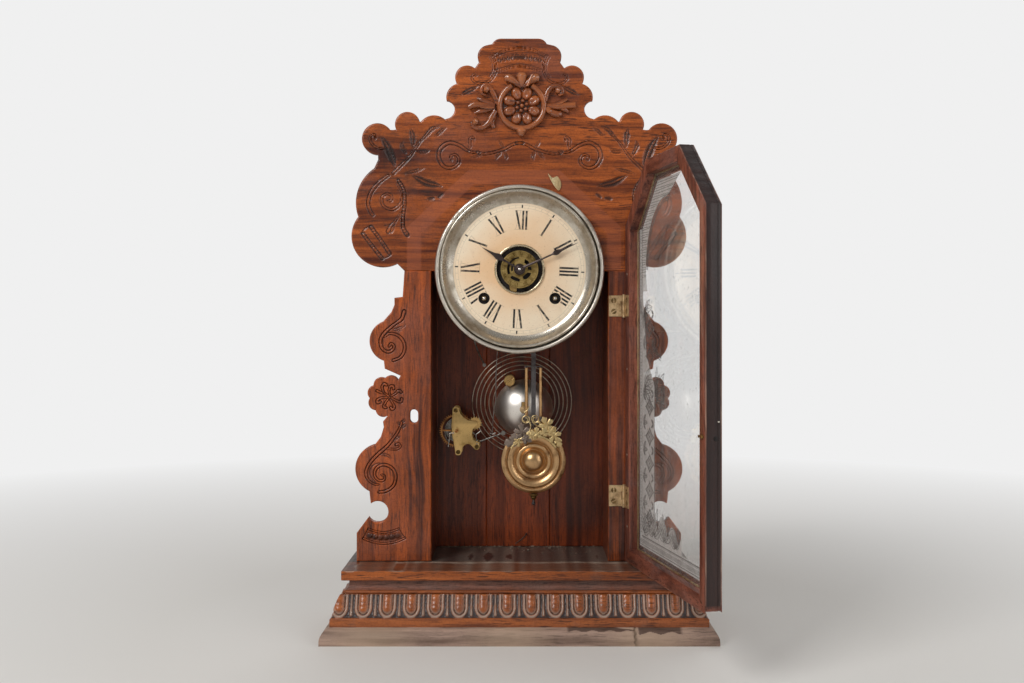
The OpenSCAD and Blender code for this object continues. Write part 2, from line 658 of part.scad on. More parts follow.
// ---- The movement's frame ----
plate_edge = [[-50, -60], [50, -60], [58, -50], [62, -42], [62, 22], [56, 62], [-56, 62], [-62, 22], [-62, -42],
    [-58, -50]];
tenon_r = 1.6;
module plate(windows) linear_extrude(plate_t) difference() {
    polygon(plate_edge);
    for (w = windows) translate([w[0], w[1]]) circle(w[2]);
}
module front_plate() color(brass) movement() union() {
    difference() {
        at_z(plate_gap) plate([[0, -27, 11], [38, 28, 12]]);
        for (p = winding_at) rod(p, plate_gap - 1, plate_z + 1, wind_r + play);
        for (p = [[0, 0], verge_at]) rod(p, plate_gap - 1, plate_z + 1, arbor_r + play);
        for (p = [second_at, third_at, escape_at, pin_at, strike3_at, fly_at, hammer_at])
            rod(p, plate_gap - 1, plate_z + 1, pivot_r + play);
        for (p = pillar_at) rod(p, plate_gap - 1, plate_z + 1, tenon_r);
    }
    rod(motion_at, plate_z, motion_z - slack, 1.6);
    rod(motion_at, plate_z, motion_z + 5.2, arbor_r); // the minute wheel's stud
    rod(verge_at + [0, 6], plate_z, rod_z + 2, 2.5); // the post that the pendulum hangs from
}
module back_plate() color(brass) movement() difference() {
    at_z(-plate_t) plate([[0, -27, 11], [38, 28, 12]]);
    for (p = winding_at) rod(p, -plate_t - 1, 1, 1.5 + play);
    for (p = [[0, 0], verge_at, second_at, third_at, escape_at, pin_at, strike3_at, fly_at, hammer_at])
        rod(p, -plate_t - 1, 1, pivot_r + play);
    for (p = pillar_at) rod(p, -plate_t - 1, 1, tenon_r);
}
pillar_r = 3;
module movement_pillars() color(steel) movement() for (p = pillar_at) {
    rod(p, 0, plate_gap, pillar_r);
    rod(p, -plate_t, 0, tenon_r);
    rod(p, plate_gap, plate_z + 0.8, tenon_r);
    rod(p, -plate_t - foot_len, -plate_t, pillar_r + 1);
}
spring_reach = norm(pillar_at[0] - time_at) - pillar_r - slack - spring_t / 2;
module mainsprings() color(steel) movement() for (i = [0, 1]) translate(winding_at[i]) at_z(2.5)
    mainspring(wind_r + slack + 1.2, 23.5, spring_reach, angle_of(pillar_at[i] - winding_at[i]), i * 2 - 1);

// ---- The going train and the hands' wheels ----
module time_winding_arbor() color(steel) movement() translate(time_at) winding_arbor();
module time_great_wheel() color(brass) movement() translate(time_at) great_wheel(0);
module time_second_wheel() color(brass) movement() translate(second_at) {
    staff();
    pinion(leaves, great_m, second_tooth, great_z - 0.4, pinion_t, arbor_r);
    wheel(second_n, second_m, second_z, second_t, arbor_r, 4, 4);
}
sleeve_r = 1.3;
module centre_wheel() color(brass) movement() {
    difference() { // the sleeve that turns stiffly on the minute arbor
        at_z(centre_z - 0.6) linear_extrude(second_z + pinion_t - centre_z) flat_bore(sleeve_r);
        rod([0, 0], 0, plate_gap, arbor_r + play);
    }
    pinion(leaves, second_m, centre_tooth, second_z - 0.6, pinion_t, sleeve_r);
    wheel(centre_n, upper_m, centre_z, wheel_t, sleeve_r, 4, 4);
}
module third_wheel() color(brass) movement() translate(third_at) {
    staff();
    pinion(small_leaves, upper_m, third_tooth, centre_z - 0.6, 2, arbor_r);
    wheel(third_n, upper_m, third_z, wheel_t, arbor_r, 3.6, 4);
}
module escape_wheel() color(brass) movement() translate(escape_at) {
    staff();
    pinion(small_leaves, upper_m, escape_tooth, third_z - 0.6, 2, arbor_r);
    at_z(escape_z) linear_extrude(wheel_t) difference() {
        polygon([for (i = [0:escape_n - 1]) let (a = 360 / escape_n)
            each [polar(escape_r - 1.5, i * a), polar(escape_r, i * a + a * 0.1), polar(escape_r - 1.5, i * a + a * 0.6)]]);
        flat_bore(arbor_r);
        for (i = [0:3]) rotate(i * 90)
            polygon(concat(arc([0, 0], escape_r - 2.8, 8, 82, 5), arc([0, 0], 3.4, 74, 16, 3)));
    }
}
// The verge: two pallets over the escape wheel, and the crutch that the pendulum moves
pallets = [[0, 2.4], [3, 1.8], [9.7, -5], [9.1, -7.7], [7.9, -6.8], [7.4, -4.9], [2.4, -1.2], [0, -1.6]];
crutch_len = 24;
fork_x = rod_w / 2 + slack + 0.5;
crutch_z = rod_z - 2.5;
module verge() color(steel) movement() translate(verge_at) union() {
    rod([0, 0], -plate_t - slack, slack, pivot_r);
    rod([0, 0], slack, crutch_z + 0.4, arbor_r);
    at_z(escape_z - 0.6) linear_extrude(wheel_t + 1.2) polygon(concat(pallets, flip(pallets)));
    bar([0, 0, crutch_z], [0, -crutch_len, crutch_z], 0.5);
    bar([-fork_x, -crutch_len, crutch_z], [fork_x, -crutch_len, crutch_z], 0.5);
    for (s = [-1, 1]) rod([s * fork_x, -crutch_len], crutch_z - 0.5, rod_z + 1.5, 0.5);
}
module minute_arbor() color(steel) movement() {
    union() {
        rod([0, 0], -plate_t - slack, slack, pivot_r);
        rod([0, 0], slack, plate_z + slack, arbor_r);
        rod([0, 0], plate_z + slack, minute_d + 3, shaft_r);
        at_z(motion_z) linear_extrude(2) flat_bore(1.6);
    }
    pinion(cannon_n, cannon_m, 0, motion_z, 2, 1.6);
}
module minute_wheel() color(brass) movement() translate(motion_at) {
    difference() {
        at_z(motion_z) linear_extrude(5) flat_bore(1.5);
        rod([0, 0], motion_z - 1, motion_z + 6, arbor_r + play);
    }
    wheel(minute_n, cannon_m, motion_z + 0.4, wheel_t, 1.5, 3.4, 4, minute_tooth);
    pinion(motion_pinion_n, hour_m, 0, motion_z + 1.4, 3.4, 1.5);
}
module hour_wheel() color(brass) movement() {
    difference() {
        union() {
            rod([0, 0], motion_z + 2.6, hour_d + hand_t, pipe_r);
            at_z(motion_z + 3) linear_extrude(wheel_t + 0.4) flat_bore(3.4);
        }
        rod([0, 0], motion_z, face_d + 9, shaft_r + play);
    }
    wheel(hour_n, hour_m, motion_z + 3.2, wheel_t, 3.4, 5, 4, hour_tooth);
}

// ---- The strike train ----
module strike_winding_arbor() color(steel) movement() translate(strike_at) winding_arbor();
module strike_great_wheel() color(brass) movement() translate(strike_at) great_wheel(0);
pins = 8;
pin_circle = 17.5;
pin_wire = 0.7;
module strike_pin_wheel() color(brass) movement() translate(pin_at) {
    staff();
    pinion(leaves, great_m, pin_tooth, great_z - 0.4, pinion_t, arbor_r);
    union() {
        wheel(second_n, second_m, second_z, second_t, arbor_r, 4, 4, 0, 4.6);
        for (i = [0:pins - 1]) rotate((i + 0.5) * 360 / pins) translate([pin_circle, 0, second_z - 2.5])
            linear_extrude(3) circle(pin_wire, $fn = 12);
    }
}
module strike_third_wheel() color(brass) movement() translate(strike3_at) {
    staff();
    pinion(leaves, second_m, strike3_tooth, second_z - 0.6, pinion_t, arbor_r);
    wheel(strike_n, upper_m, strike3_z, wheel_t, arbor_r, 3.6, 4);
}
fly_hw = 11;
module strike_fly() color(brass) movement() translate(fly_at) {
    union() {
        staff();
        translate([-fly_hw, -0.3, 6]) cube([2 * fly_hw, 0.6, 13]);
    }
    pinion(small_leaves, upper_m, fly_tooth, strike3_z - 0.7, 2.2, arbor_r);
}
// The gong hammer: its tail waits beside the pins and its head beside the coil
gong_y = back_y - 13;
gong_d = move_y - gong_y;
gong_start = 129;
hammer_way = 136;
gong_out = gong_r + gong_pitch * (floor(gong_turns - 0.02) + (hammer_way - gong_start) / 360);
hammer_r = 1.8;
hammer_head = [gong_at[0], gong_at[1] - dial_z] + polar(gong_out + gong_wire / 2 + 1.2 + hammer_r, hammer_way);
tail_z = second_z - 1.8;
module gong_hammer() color(steel) movement() {
    tail_end = pin_at + polar(pin_circle + pin_wire + 1.05, -50);
    elbow = [hammer_at[0] + 9, hammer_at[1] - 27];
    union() {
        translate(hammer_at) staff();
        bar([hammer_at[0], hammer_at[1], tail_z], [hammer_at[0] + 24, hammer_at[1] + 10, tail_z], 0.7);
        bar([hammer_at[0] + 24, hammer_at[1] + 10, tail_z], [tail_end[0], tail_end[1], tail_z], 0.7);
        bar([hammer_at[0], hammer_at[1], 3], [elbow[0], elbow[1], 3], 0.8);
        bar([elbow[0], elbow[1], 3.3], [hammer_head[0], hammer_head[1], gong_d], 0.8);
        rod(hammer_head, gong_d - 3, gong_d + 3, hammer_r);
    }
}

// ---- The gong, the bell and the alarm ----
// The coil winds outwards from its post, at gong_start, as one wire
gong_rings = 24;
coil_steps = gong_turns * gong_rings;
function coil_point(i) = polar(gong_r + gong_pitch * i / gong_rings, gong_start + i * 360 / gong_rings);
function ahead(i) = let (v = coil_point(i + 0.01) - coil_point(i - 0.01)) v / norm(v);
coil_path = concat([coil_point(0) - gong_wire * ahead(0)], [for (i = [0:coil_steps]) coil_point(i)],
    [coil_point(coil_steps) + gong_wire * ahead(coil_steps)]);
coil_way = concat([ahead(0)], [for (i = [0:coil_steps]) ahead(i)], [ahead(coil_steps)]);
coil_sides = 6;
coil_gap = min([for (i = [0:coil_steps]) for (j = [i + gong_rings / 2:coil_steps])
    norm(coil_path[i] - coil_path[j])]) - gong_wire;
echo(str("Least gap between the gong's turns: ", coil_gap, " mm"));
module tube(path, way, r, sides) {
    k = len(path);
    points = [for (i = [0:k - 1]) for (j = [0:sides - 1]) let (a = j * 360 / sides, n = [-way[i][1], way[i][0]])
        [path[i][0] + r * cos(a) * n[0], path[i][1] + r * cos(a) * n[1], r * sin(a)]];
    walls = [for (i = [0:k - 2]) for (j = [0:sides - 1]) let (a = i * sides + j, b = i * sides + (j + 1) % sides)
        each [[a, a + sides, b], [b, a + sides, b + sides]]];
    caps = [for (j = [1:sides - 2]) each [[0, j, j + 1], [(k - 1) * sides, (k - 1) * sides + j + 1, (k - 1) * sides + j]]];
    polyhedron(points, concat(walls, caps));
}
module on_back(y) translate([0, y, 0]) rotate([90, 0, 0]) children();
module gong_coil() color(steel) on_back(gong_y) translate(gong_at)
    tube(coil_path, coil_way, gong_wire / 2, coil_sides);
post_r = 5.6;
post_at = [gong_r - 3.6, -gong_wire - 2.5];
module gong_post() color(brass) on_back(gong_y) translate(gong_at) rotate(gong_start) difference() {
    union() {
        rod(post_at, gong_y - back_y, -1.5, post_r);
        rod(post_at, -1.5, 4.5, 3.4);
        translate([post_at[0] - 2.5, post_at[1] - 2.52, -3]) cube([7.6, 5, 6]);
        rod(post_at, 4.5, 13, 1.8);
        rod(post_at, 13, 16, post_r - 0.1);
    }
    translate(concat(post_at, 15)) rotate(266) translate([-7, -0.5, 0]) cube([14, 1, 2]); // the screw's slot
}

bell_y = back_y - 19; // the bell's rim
bell_rise = 20;
bell_t = 1.2;
bell_post_r = 3;
bell_ball = (bell_r * bell_r + bell_rise * bell_rise) / (2 * bell_rise);
module alarm_bell() color(nickel) on_back(bell_y) translate(bell_at) rotate_extrude() intersection() {
    difference() {
        translate([0, bell_rise - bell_ball]) circle(bell_ball);
        translate([0, bell_rise - bell_ball]) circle(bell_ball - bell_t);
    }
    translate([bell_post_r - 1, 0]) square([bell_r + 5, bell_rise + 5]);
}
module bell_post() color(brass) on_back(bell_y) translate(bell_at) union() {
    rod([0, 0], bell_y - back_y, bell_rise - bell_t - 0.6, bell_post_r);
    rod([0, 0], bell_y - back_y, bell_rise + 1, bell_post_r - 1 - play);
    rod([0, 0], bell_rise + 0.3, bell_rise + 2.3, 4);
    rod([0, 0], bell_y - back_y, bell_y - back_y + 1.5, 8);
}

alarm_y = back_y - 17.5; // the front of the alarm's back plate
alarm_m = 0.7;
alarm_plate_t = 1.2;
alarm_reach = alarm_m * (alarm_n + leaves) / 2;
alarm_way = 22;
alarm_escape_at = alarm_at + polar(alarm_reach, alarm_way);
alarm_hammer_at = alarm_escape_at + [2, -20];
alarm_pillar_at = [alarm_at + [-0.8, 20.4], alarm_at + [1.6, -20.9], alarm_at + [19.9, -15.6]];
alarm_wheel_z = alarm_gap - 5.5;
alarm_tooth = mesh(alarm_way, 0, alarm_n, leaves);
module alarm_place() on_back(alarm_y) children();
module alarm_holes(z0, z1) {
    rod(alarm_at, z0, z1, 1.5 + play);
    for (p = [alarm_escape_at, alarm_hammer_at]) rod(p, z0, z1, pivot_r + play);
    for (p = alarm_pillar_at) rod(p, z0, z1, 1);
}
// Each plate is a star with a pillar or a pivot in each of its rounded points
alarm_star = concat(arc(alarm_pillar_at[0], 3.6, 30, 190, 6),
    [for (p = [[-4.6, 14], [-5.2, 5], [-4.6, -4], [-2.9, -12]]) alarm_at + p],
    arc(alarm_pillar_at[1], 3.3, 165, 345, 6),
    [for (p = [[5.7, -16.5], [8.7, -13.6], [12, -13], [15, -14.8]]) alarm_at + p],
    arc(alarm_pillar_at[2], 3.1, 215, 340, 5), arc(alarm_hammer_at, 2.4, -20, 120, 4),
    [for (p = [[16.6, -8.5], [15.4, -3.5], [16.2, 2]]) alarm_at + p],
    arc(alarm_escape_at, 2.4, -50, 110, 5),
    [for (p = [[11.5, 10.4], [7, 13.4], [3.7, 17.2]]) alarm_at + p]);
module alarm_frame() color(brass) alarm_place() {
    difference() {
        at_z(alarm_gap) linear_extrude(alarm_plate_t) polygon(alarm_star);
        alarm_holes(alarm_gap - 1, alarm_gap + 3);
    }
    difference() {
        at_z(-alarm_plate_t) linear_extrude(alarm_plate_t) polygon(alarm_star);
        alarm_holes(-3, 1);
    }
    for (p = alarm_pillar_at) {
        rod(p, 0, alarm_gap, 1.7);
        rod(p, -alarm_plate_t, 0, 1);
        rod(p, alarm_gap, alarm_gap + alarm_plate_t + 0.6, 1);
        rod(p, alarm_y - back_y, -alarm_plate_t, 2.4);
    }
}
alarm_spring_reach = norm(alarm_pillar_at[1] - alarm_at) - 1.7 - slack - spring_t / 2;
module alarm_spring() color(steel) alarm_place() translate(alarm_at) at_z(1) intersection() {
    mainspring(3.2, 12.6, alarm_spring_reach, angle_of(alarm_pillar_at[1] - alarm_at), 1);
    translate([-40, -40, 0]) cube([80, 80, 10]);
}
module alarm_staff() union() {
    at_z(slack) linear_extrude(alarm_gap - 2 * slack) flat_bore(arbor_r);
    for (z = [-alarm_plate_t - slack, alarm_gap - 2 * slack]) rod([0, 0], z, z + alarm_plate_t + 3 * slack, pivot_r);
}
module alarm_great_wheel() color(brass) alarm_place() translate(alarm_at) {
    union() {
        rod([0, 0], -alarm_plate_t - slack, alarm_gap + alarm_plate_t + 1, 1.5);
        at_z(slack) linear_extrude(alarm_gap - 2 * slack) flat_bore(2);
        at_z(alarm_gap + alarm_plate_t + 1) linear_extrude(6) square(2.1, center = true);
    }
    wheel(alarm_n, alarm_m, alarm_wheel_z, second_t, 2, 5, 4);
}
module alarm_escape_wheel() color(brass) alarm_place() translate(alarm_escape_at) {
    alarm_staff();
    pinion(leaves, alarm_m, alarm_tooth, alarm_wheel_z - 0.6, pinion_t, arbor_r);
    at_z(alarm_wheel_z + 2.8) linear_extrude(wheel_t) difference() {
        polygon([for (i = [0:14]) each [polar(5.6, i * 24), polar(7.5, i * 24 + 3), polar(5.6, i * 24 + 12)]]);
        flat_bore(arbor_r);
    }
}
alarm_head_r = 2.2;
module alarm_hammer() color(steel) alarm_place() {
    z = alarm_wheel_z + 3.2;
    top = alarm_escape_at + [0.8, -11.4];
    head = bell_at + polar(bell_r + alarm_head_r + 1, 230);
    union() {
        translate(alarm_hammer_at) alarm_staff();
        bar(concat(alarm_hammer_at, z), concat(top, z), 0.6);
        for (a = [-50, -130]) bar(concat(top, z), concat(alarm_escape_at + polar(9.4, a), z), 0.6);
        bar(concat(alarm_hammer_at, 5.5), concat(head, 5.5), 0.8);
        rod(head, 2.5, 8.5, alarm_head_r);
    }
}

// ---- The pendulum ----
rod_y = move_y - rod_z;
strip_t = 0.8;
strip_z = 200;
frame_z = [203, 250];
frame_hw = 6.9;
tube_r = 1.65;
nut_h = 6;
module at_pendulum() translate([pendulum_x, rod_y, 0]) children();
module pendulum_rod() color(steel) at_pendulum() union() {
    translate([-rod_w / 2, -strip_t / 2, strip_z]) cube([rod_w, strip_t, dial_z + bend_up + 3 - strip_z]);
    rod([0, 0], bob_z - bob_r - nut_h - 4, strip_z + 2, 1.2);
    translate([0, 0, bob_z - bob_r - nut_h - 4]) sphere(r = 1.9);
}
module pendulum_frame() color(brass) at_pendulum() translate([0, -strip_t / 2 - 0.8, 0]) union() {
    for (s = [-1, 1]) rod([s * frame_hw, 0], frame_z[0], frame_z[1], tube_r);
    for (z = [frame_z[0] + 0.7, frame_z[1] - 0.7])
        translate([-frame_hw, -0.6, z - 0.6]) cube([2 * frame_hw, 1.2, 1.2]);
}
bob_back = 1.3; // how far the bob's back stands in front of the rod's middle
module pendulum_bob() color(brass) at_pendulum() translate([0, -bob_back, bob_z]) rotate([90, 0, 0])
    rotate_extrude($fn = 96) polygon(concat([[0, 0], [bob_r, 0], [bob_r, 1], [bob_r - 2.8, 1.2]],
        [[bob_r - 4.3, 4], [bob_r - 5.4, 4], [bob_r - 7.3, 2.4], [bob_r - 9.3, 4.2], [bob_r - 11.5, 5],
        [bob_r - 13.8, 4.8], [bob_r - 14.5, 3.4], [bob_r - 17, 2.6], [bob_r - 20.3, 2.8]],
        arc([0, 0], (bob_r - 20.3) * 1.05, 16, 75, 5) + [for (i = [0:5]) [0, -0.2]], [[0, 10.8]]));
ornament_half = [[0, 42], [4.5, 40], [8, 34.5], [13, 36], [14.5, 31.5], [20, 31], [21, 26.5], [26.5, 24], [26, 17.5],
    [21, 15.5], [17.5, 19], [12.5, 20.5], [8.5, 18.5], [4.5, 20.5], [0, 18]];
module bob_ornament() color(brass) at_pendulum() translate([0, -bob_back - 5 - slack, bob_z])
    rotate([90, 0, 0]) union() {
        linear_extrude(1.6) polygon(concat(ornament_half, flip(ornament_half)));
        for (p = [[0, 27], [10, 28], [-10, 28], [19.5, 22.5], [-19.5, 22.5]]) rod(p, 0, 2.8, 3);
    }
module rating_nut() color(brass) at_pendulum() difference() {
    rod([0, 0], bob_z - bob_r - slack - nut_h, bob_z - bob_r - slack, 4);
    rod([0, 0], 0, bob_z, 1.2 + play);
}

foot_molding();
egg_molding();
cove_molding();
base_rear_rail();
base_top_board();
case_box();
back_board();
left_stile();
right_stile();
head_board();
crest_ornament();
door_hinge_stile();
door_free_stile();
door_bottom_rail();
door_arch_rails();
door_glass();
glass_beads();
door_hinge_leaves();
frame_hinge_leaves();
hinge_pins();
door_latch();
dial_pan();
dial_paper();
minute_hand();
hour_hand();
alarm_disc();
front_plate();
back_plate();
movement_pillars();
mainsprings();
minute_arbor();
minute_wheel();
hour_wheel();
time_winding_arbor();
time_great_wheel();
time_second_wheel();
centre_wheel();
third_wheel();
escape_wheel();
verge();
strike_winding_arbor();
strike_great_wheel();
strike_pin_wheel();
strike_third_wheel();
strike_fly();
gong_hammer();
gong_post();
gong_coil();
alarm_bell();
bell_post();
alarm_frame();
alarm_spring();
alarm_great_wheel();
alarm_escape_wheel();
alarm_hammer();
pendulum_rod();
pendulum_frame();
pendulum_bob();
bob_ornament();
rating_nut();
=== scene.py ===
import math
import bmesh
import bpy
import numpy as np
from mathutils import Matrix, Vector, kdtree
from mathutils.geometry import tessellate_polygon


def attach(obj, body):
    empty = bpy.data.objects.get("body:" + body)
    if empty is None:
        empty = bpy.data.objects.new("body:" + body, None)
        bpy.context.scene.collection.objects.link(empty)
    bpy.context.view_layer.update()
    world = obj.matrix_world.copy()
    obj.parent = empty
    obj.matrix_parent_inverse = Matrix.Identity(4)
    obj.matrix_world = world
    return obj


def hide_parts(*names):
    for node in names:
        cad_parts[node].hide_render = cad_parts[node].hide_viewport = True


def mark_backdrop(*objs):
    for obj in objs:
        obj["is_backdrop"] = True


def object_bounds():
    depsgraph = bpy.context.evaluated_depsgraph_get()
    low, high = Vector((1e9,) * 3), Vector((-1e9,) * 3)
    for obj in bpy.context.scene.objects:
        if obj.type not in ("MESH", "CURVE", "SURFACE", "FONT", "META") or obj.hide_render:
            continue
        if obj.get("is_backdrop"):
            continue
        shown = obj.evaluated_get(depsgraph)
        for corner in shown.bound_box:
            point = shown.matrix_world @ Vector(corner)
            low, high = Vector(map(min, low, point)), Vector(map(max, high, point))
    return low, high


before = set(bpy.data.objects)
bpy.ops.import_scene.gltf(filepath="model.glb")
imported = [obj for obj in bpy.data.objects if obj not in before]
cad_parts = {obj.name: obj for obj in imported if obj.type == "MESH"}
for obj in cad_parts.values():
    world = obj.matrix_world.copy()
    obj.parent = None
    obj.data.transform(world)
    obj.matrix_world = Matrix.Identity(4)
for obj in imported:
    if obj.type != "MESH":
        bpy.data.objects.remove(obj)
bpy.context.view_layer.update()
chance = np.random.default_rng(11)
print("frame loaded")

# The camera stands level in front of the clock, where the photograph was taken from
view = {"place": (0.0033, -1.070, 0.287), "lens": 38.9, "shift": (-11 / 1024, -12.5 / 1024)}
cameraData = bpy.data.cameras.new("camera")
cameraData.lens = view["lens"]
cameraData.sensor_width = 36
cameraData.shift_x, cameraData.shift_y = view["shift"]
camera = bpy.data.objects.new("camera", cameraData)
camera.location = view["place"]
camera.rotation_euler = (math.radians(90), 0, 0)
bpy.context.scene.collection.objects.link(camera)
bpy.context.scene.camera = camera

mm = 0.001
dialZ = 344.0
faceY = -10.0    # front of the head board and the stiles
pinPlace = np.array([100.0, -12.4])    # the door's hinge pin, seen from above
doorAngle = math.radians(102.3)


def colour(r, g, b, a=1.0):
    # a colour as the eye reads it, 0 to 255, turned into scene light
    return tuple(((c / 255 + 0.055) / 1.055) ** 2.4 if c > 10 else c / 255 / 12.92 for c in (r, g, b)) + (a,)


# surfaces: each gives (points in mm, faces, ...) for piece() to join
def gridFaces(rows, cols, wrapRows=False, wrapCols=False):
    # quads between neighbouring points of a rows x cols grid, joined round where it wraps
    r = np.arange(rows if wrapRows else rows - 1)[:, None]
    c = np.arange(cols if wrapCols else cols - 1)[None, :]
    r1, c1 = (r + 1) % rows, (c + 1) % cols
    return np.stack([r * cols + c, r * cols + c1, r1 * cols + c1, r1 * cols + c], -1).reshape(-1, 4)


def lathe(profile, centre, sides=64, axis="y"):
    # profile points (radius, distance along the axis) carried round it; a radius of 0 closes in a pole
    profile = np.asarray(profile, float)
    turn = np.linspace(0, 2 * np.pi, sides, endpoint=False)[None, :]
    r, h = profile[:, 0][:, None], profile[:, 1][:, None] + 0 * turn
    a, b = r * np.cos(turn), r * np.sin(turn)
    points = np.stack({"y": (a, h, b), "z": (a, b, h), "x": (h, a, b)}[axis], -1).reshape(-1, 3) + centre
    return points, gridFaces(len(profile), sides, wrapCols=True)


def smoothLine(points, count, closed=False):
    # a Catmull-Rom curve through the points, in count equal steps of its parameter
    p = np.asarray(points, float)
    p = np.vstack([p[-1], p, p[0], p[1]]) if closed else np.vstack([2 * p[0] - p[1], p, 2 * p[-1] - p[-2]])
    t = np.linspace(0, len(p) - 3 - 1e-9, count, endpoint=not closed)
    i = t.astype(int)
    t = (t - i)[:, None]
    a, b, c, d = p[i], p[i + 1], p[i + 2], p[i + 3]
    return 0.5 * (2 * b + (c - a) * t + (2 * a - 5 * b + 4 * c - d) * t ** 2 +
                  (3 * b - a - 3 * c + d) * t ** 3)


def tube(path, radius, sides=12, closed=False, flat=1.0, up=(0, 1, 0)):
    # circles of the given radius, squashed by flat along up, carried along the path; open ends close in a
    # point
    path = np.asarray(path, float)
    radius = np.broadcast_to(np.asarray(radius, float), len(path)).copy()
    way = np.roll(path, -1, 0) - np.roll(path, 1, 0) if closed else np.gradient(path, axis=0)
    way /= np.linalg.norm(way, axis=1)[:, None] + 1e-12
    side = np.cross(way, up)
    side /= np.linalg.norm(side, axis=1)[:, None] + 1e-12
    over = np.cross(side, way)
    if not closed:
        path = np.vstack([path[0], path, path[-1]])
        radius = np.concatenate([[0], radius, [0]])
        side, over = np.vstack([side[0], side, side[-1]]), np.vstack([over[0], over, over[-1]])
    turn = np.linspace(0, 2 * np.pi, sides, endpoint=False)[None, :, None]
    r = radius[:, None, None]
    points = path[:, None] + r * (np.cos(turn) * side[:, None] + flat * np.sin(turn) * over[:, None])
    return points.reshape(-1, 3), gridFaces(len(path), sides, wrapRows=closed, wrapCols=True)


def blob(centre, size, sides=16):
    # an ellipsoid: radii size along x, y, z
    turn = np.linspace(0, 2 * np.pi, sides, endpoint=False)[None, :]
    tilt = np.linspace(-np.pi / 2, np.pi / 2, sides // 2 + 1)[:, None]
    unit = np.stack([np.cos(tilt) * np.cos(turn), np.sin(tilt) + 0 * turn, np.cos(tilt) * np.sin(turn)], -1)
    return unit.reshape(-1, 3) * size + centre, gridFaces(sides // 2 + 1, sides, wrapCols=True)


def filled(flat, loops=None):
    # triangles over the first loop with the others as holes, all running counter-clockwise in the plane
    outlines = [[(p[0], p[1], 0) for p in loop] for loop in loops or [flat]]
    faces = np.array(tessellate_polygon(outlines))
    a, b, c = flat[faces[:, 0]], flat[faces[:, 1]], flat[faces[:, 2]]
    turned = (b[:, 0] - a[:, 0]) * (c[:, 1] - a[:, 1]) - (b[:, 1] - a[:, 1]) * (c[:, 0] - a[:, 0]) < 0
    faces[turned] = faces[turned][:, ::-1]
    return faces


def slab(outline, low, high, edge=0.0, place=np.asarray):
    # an outline in (x, z) between y = low and y = high, its front corner at low rounded over edge
    outline = np.asarray(outline, float)
    if np.sum(outline[:, 0] * np.roll(outline[:, 1], -1) - np.roll(outline[:, 0], -1) * outline[:, 1]) < 0:
        outline = outline[::-1]
    ahead = np.roll(outline, -1, 0) - outline
    ahead /= np.linalg.norm(ahead, axis=1)[:, None] + 1e-12
    inward = np.stack([-ahead[:, 1], ahead[:, 0]], 1)
    inward = inward + np.roll(inward, 1, 0)
    inward /= np.linalg.norm(inward, axis=1)[:, None] + 1e-12
    rings = [(0, high), (0, low)]
    if edge:
        rings = [(0, high), (0, low + edge), (edge * 0.3, low + edge * 0.3), (edge, low)]
    points = []
    for inset, y in rings:
        ring = outline + inward * inset
        points.append(np.column_stack([ring[:, 0], np.full(len(ring), y), ring[:, 1]]))
    n = len(outline)
    faces, fill = gridFaces(len(rings), n, wrapCols=True), filled(outline)
    return place(np.vstack(points)), faces, fill + (len(rings) - 1) * n, fill[:, ::-1]


def block(low, high, edge=0.6, place=np.asarray):
    # a box with its edges broken: eight-sided rings whose corners come together in pairs at both ends
    low, high = np.asarray(low, float), np.asarray(high, float)
    half, mid = (high - low) / 2, (high + low) / 2
    side = np.array([(1, 1), (1, 1), (-1, 1), (-1, 1), (-1, -1), (-1, -1), (1, -1), (1, -1)])
    cut = np.array([(0, 1), (1, 0), (1, 0), (0, 1), (0, 1), (1, 0), (1, 0), (0, 1)]) * edge
    rings = [(half[:2], -1, 0), (edge, -1, 0), (cut, -1, edge), (cut, 1, edge), (edge, 1, 0),
             (half[:2], 1, 0)]
    points = np.vstack([np.column_stack([side * (half[:2] - inset), np.full(8, way * (half[2] - lower))])
                        for inset, way, lower in rings])
    return place(points + mid), gridFaces(6, 8, wrapCols=True)


def piece(name, parts, body, material, replaced=None, smooth=35, **marks):
    # joins the parts into one mesh, in metres, that rides on body; marks are values kept on its points
    points, faceSets, base = [], [], 0
    for p, *sets in parts:
        points.append(p)
        faceSets += [f + base for f in sets if len(f)]
        base += len(p)
    points = np.vstack(points) * mm
    mesh = bpy.data.meshes.new(name)
    mesh.vertices.add(len(points))
    mesh.vertices.foreach_set("co", points.astype(np.float32).ravel())
    sizes = np.concatenate([np.full(len(f), f.shape[1]) for f in faceSets])
    mesh.loops.add(int(sizes.sum()))
    mesh.loops.foreach_set("vertex_index", np.concatenate([f.ravel() for f in faceSets]).astype(np.int32))
    mesh.polygons.add(len(sizes))
    mesh.polygons.foreach_set("loop_start", np.concatenate([[0], np.cumsum(sizes)[:-1]]).astype(np.int32))
    mesh.update(calc_edges=True)
    mesh.polygons.foreach_set("use_smooth", np.ones(len(sizes), bool))
    for mark, values in marks.items():
        mesh.attributes.new(mark, "FLOAT", "POINT").data.foreach_set("value", np.asarray(values, np.float32))
    item = bpy.data.objects.new(name, mesh)
    bpy.context.scene.collection.objects.link(item)
    mesh.materials.append(material)
    closePoles(mesh)
    mesh.set_sharp_from_angle(angle=math.radians(smooth))
    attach(item, body)
    if replaced:
        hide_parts(replaced)
    return item


def closePoles(mesh):
    # rings of no size become single points, and faces are turned outwards
    work = bmesh.new()
    work.from_mesh(mesh)
    bmesh.ops.remove_doubles(work, verts=work.verts, dist=2e-7)
    bmesh.ops.dissolve_degenerate(work, edges=work.edges, dist=1e-8)
    bmesh.ops.recalc_face_normals(work, faces=work.faces)
    work.to_mesh(mesh)
    work.free()


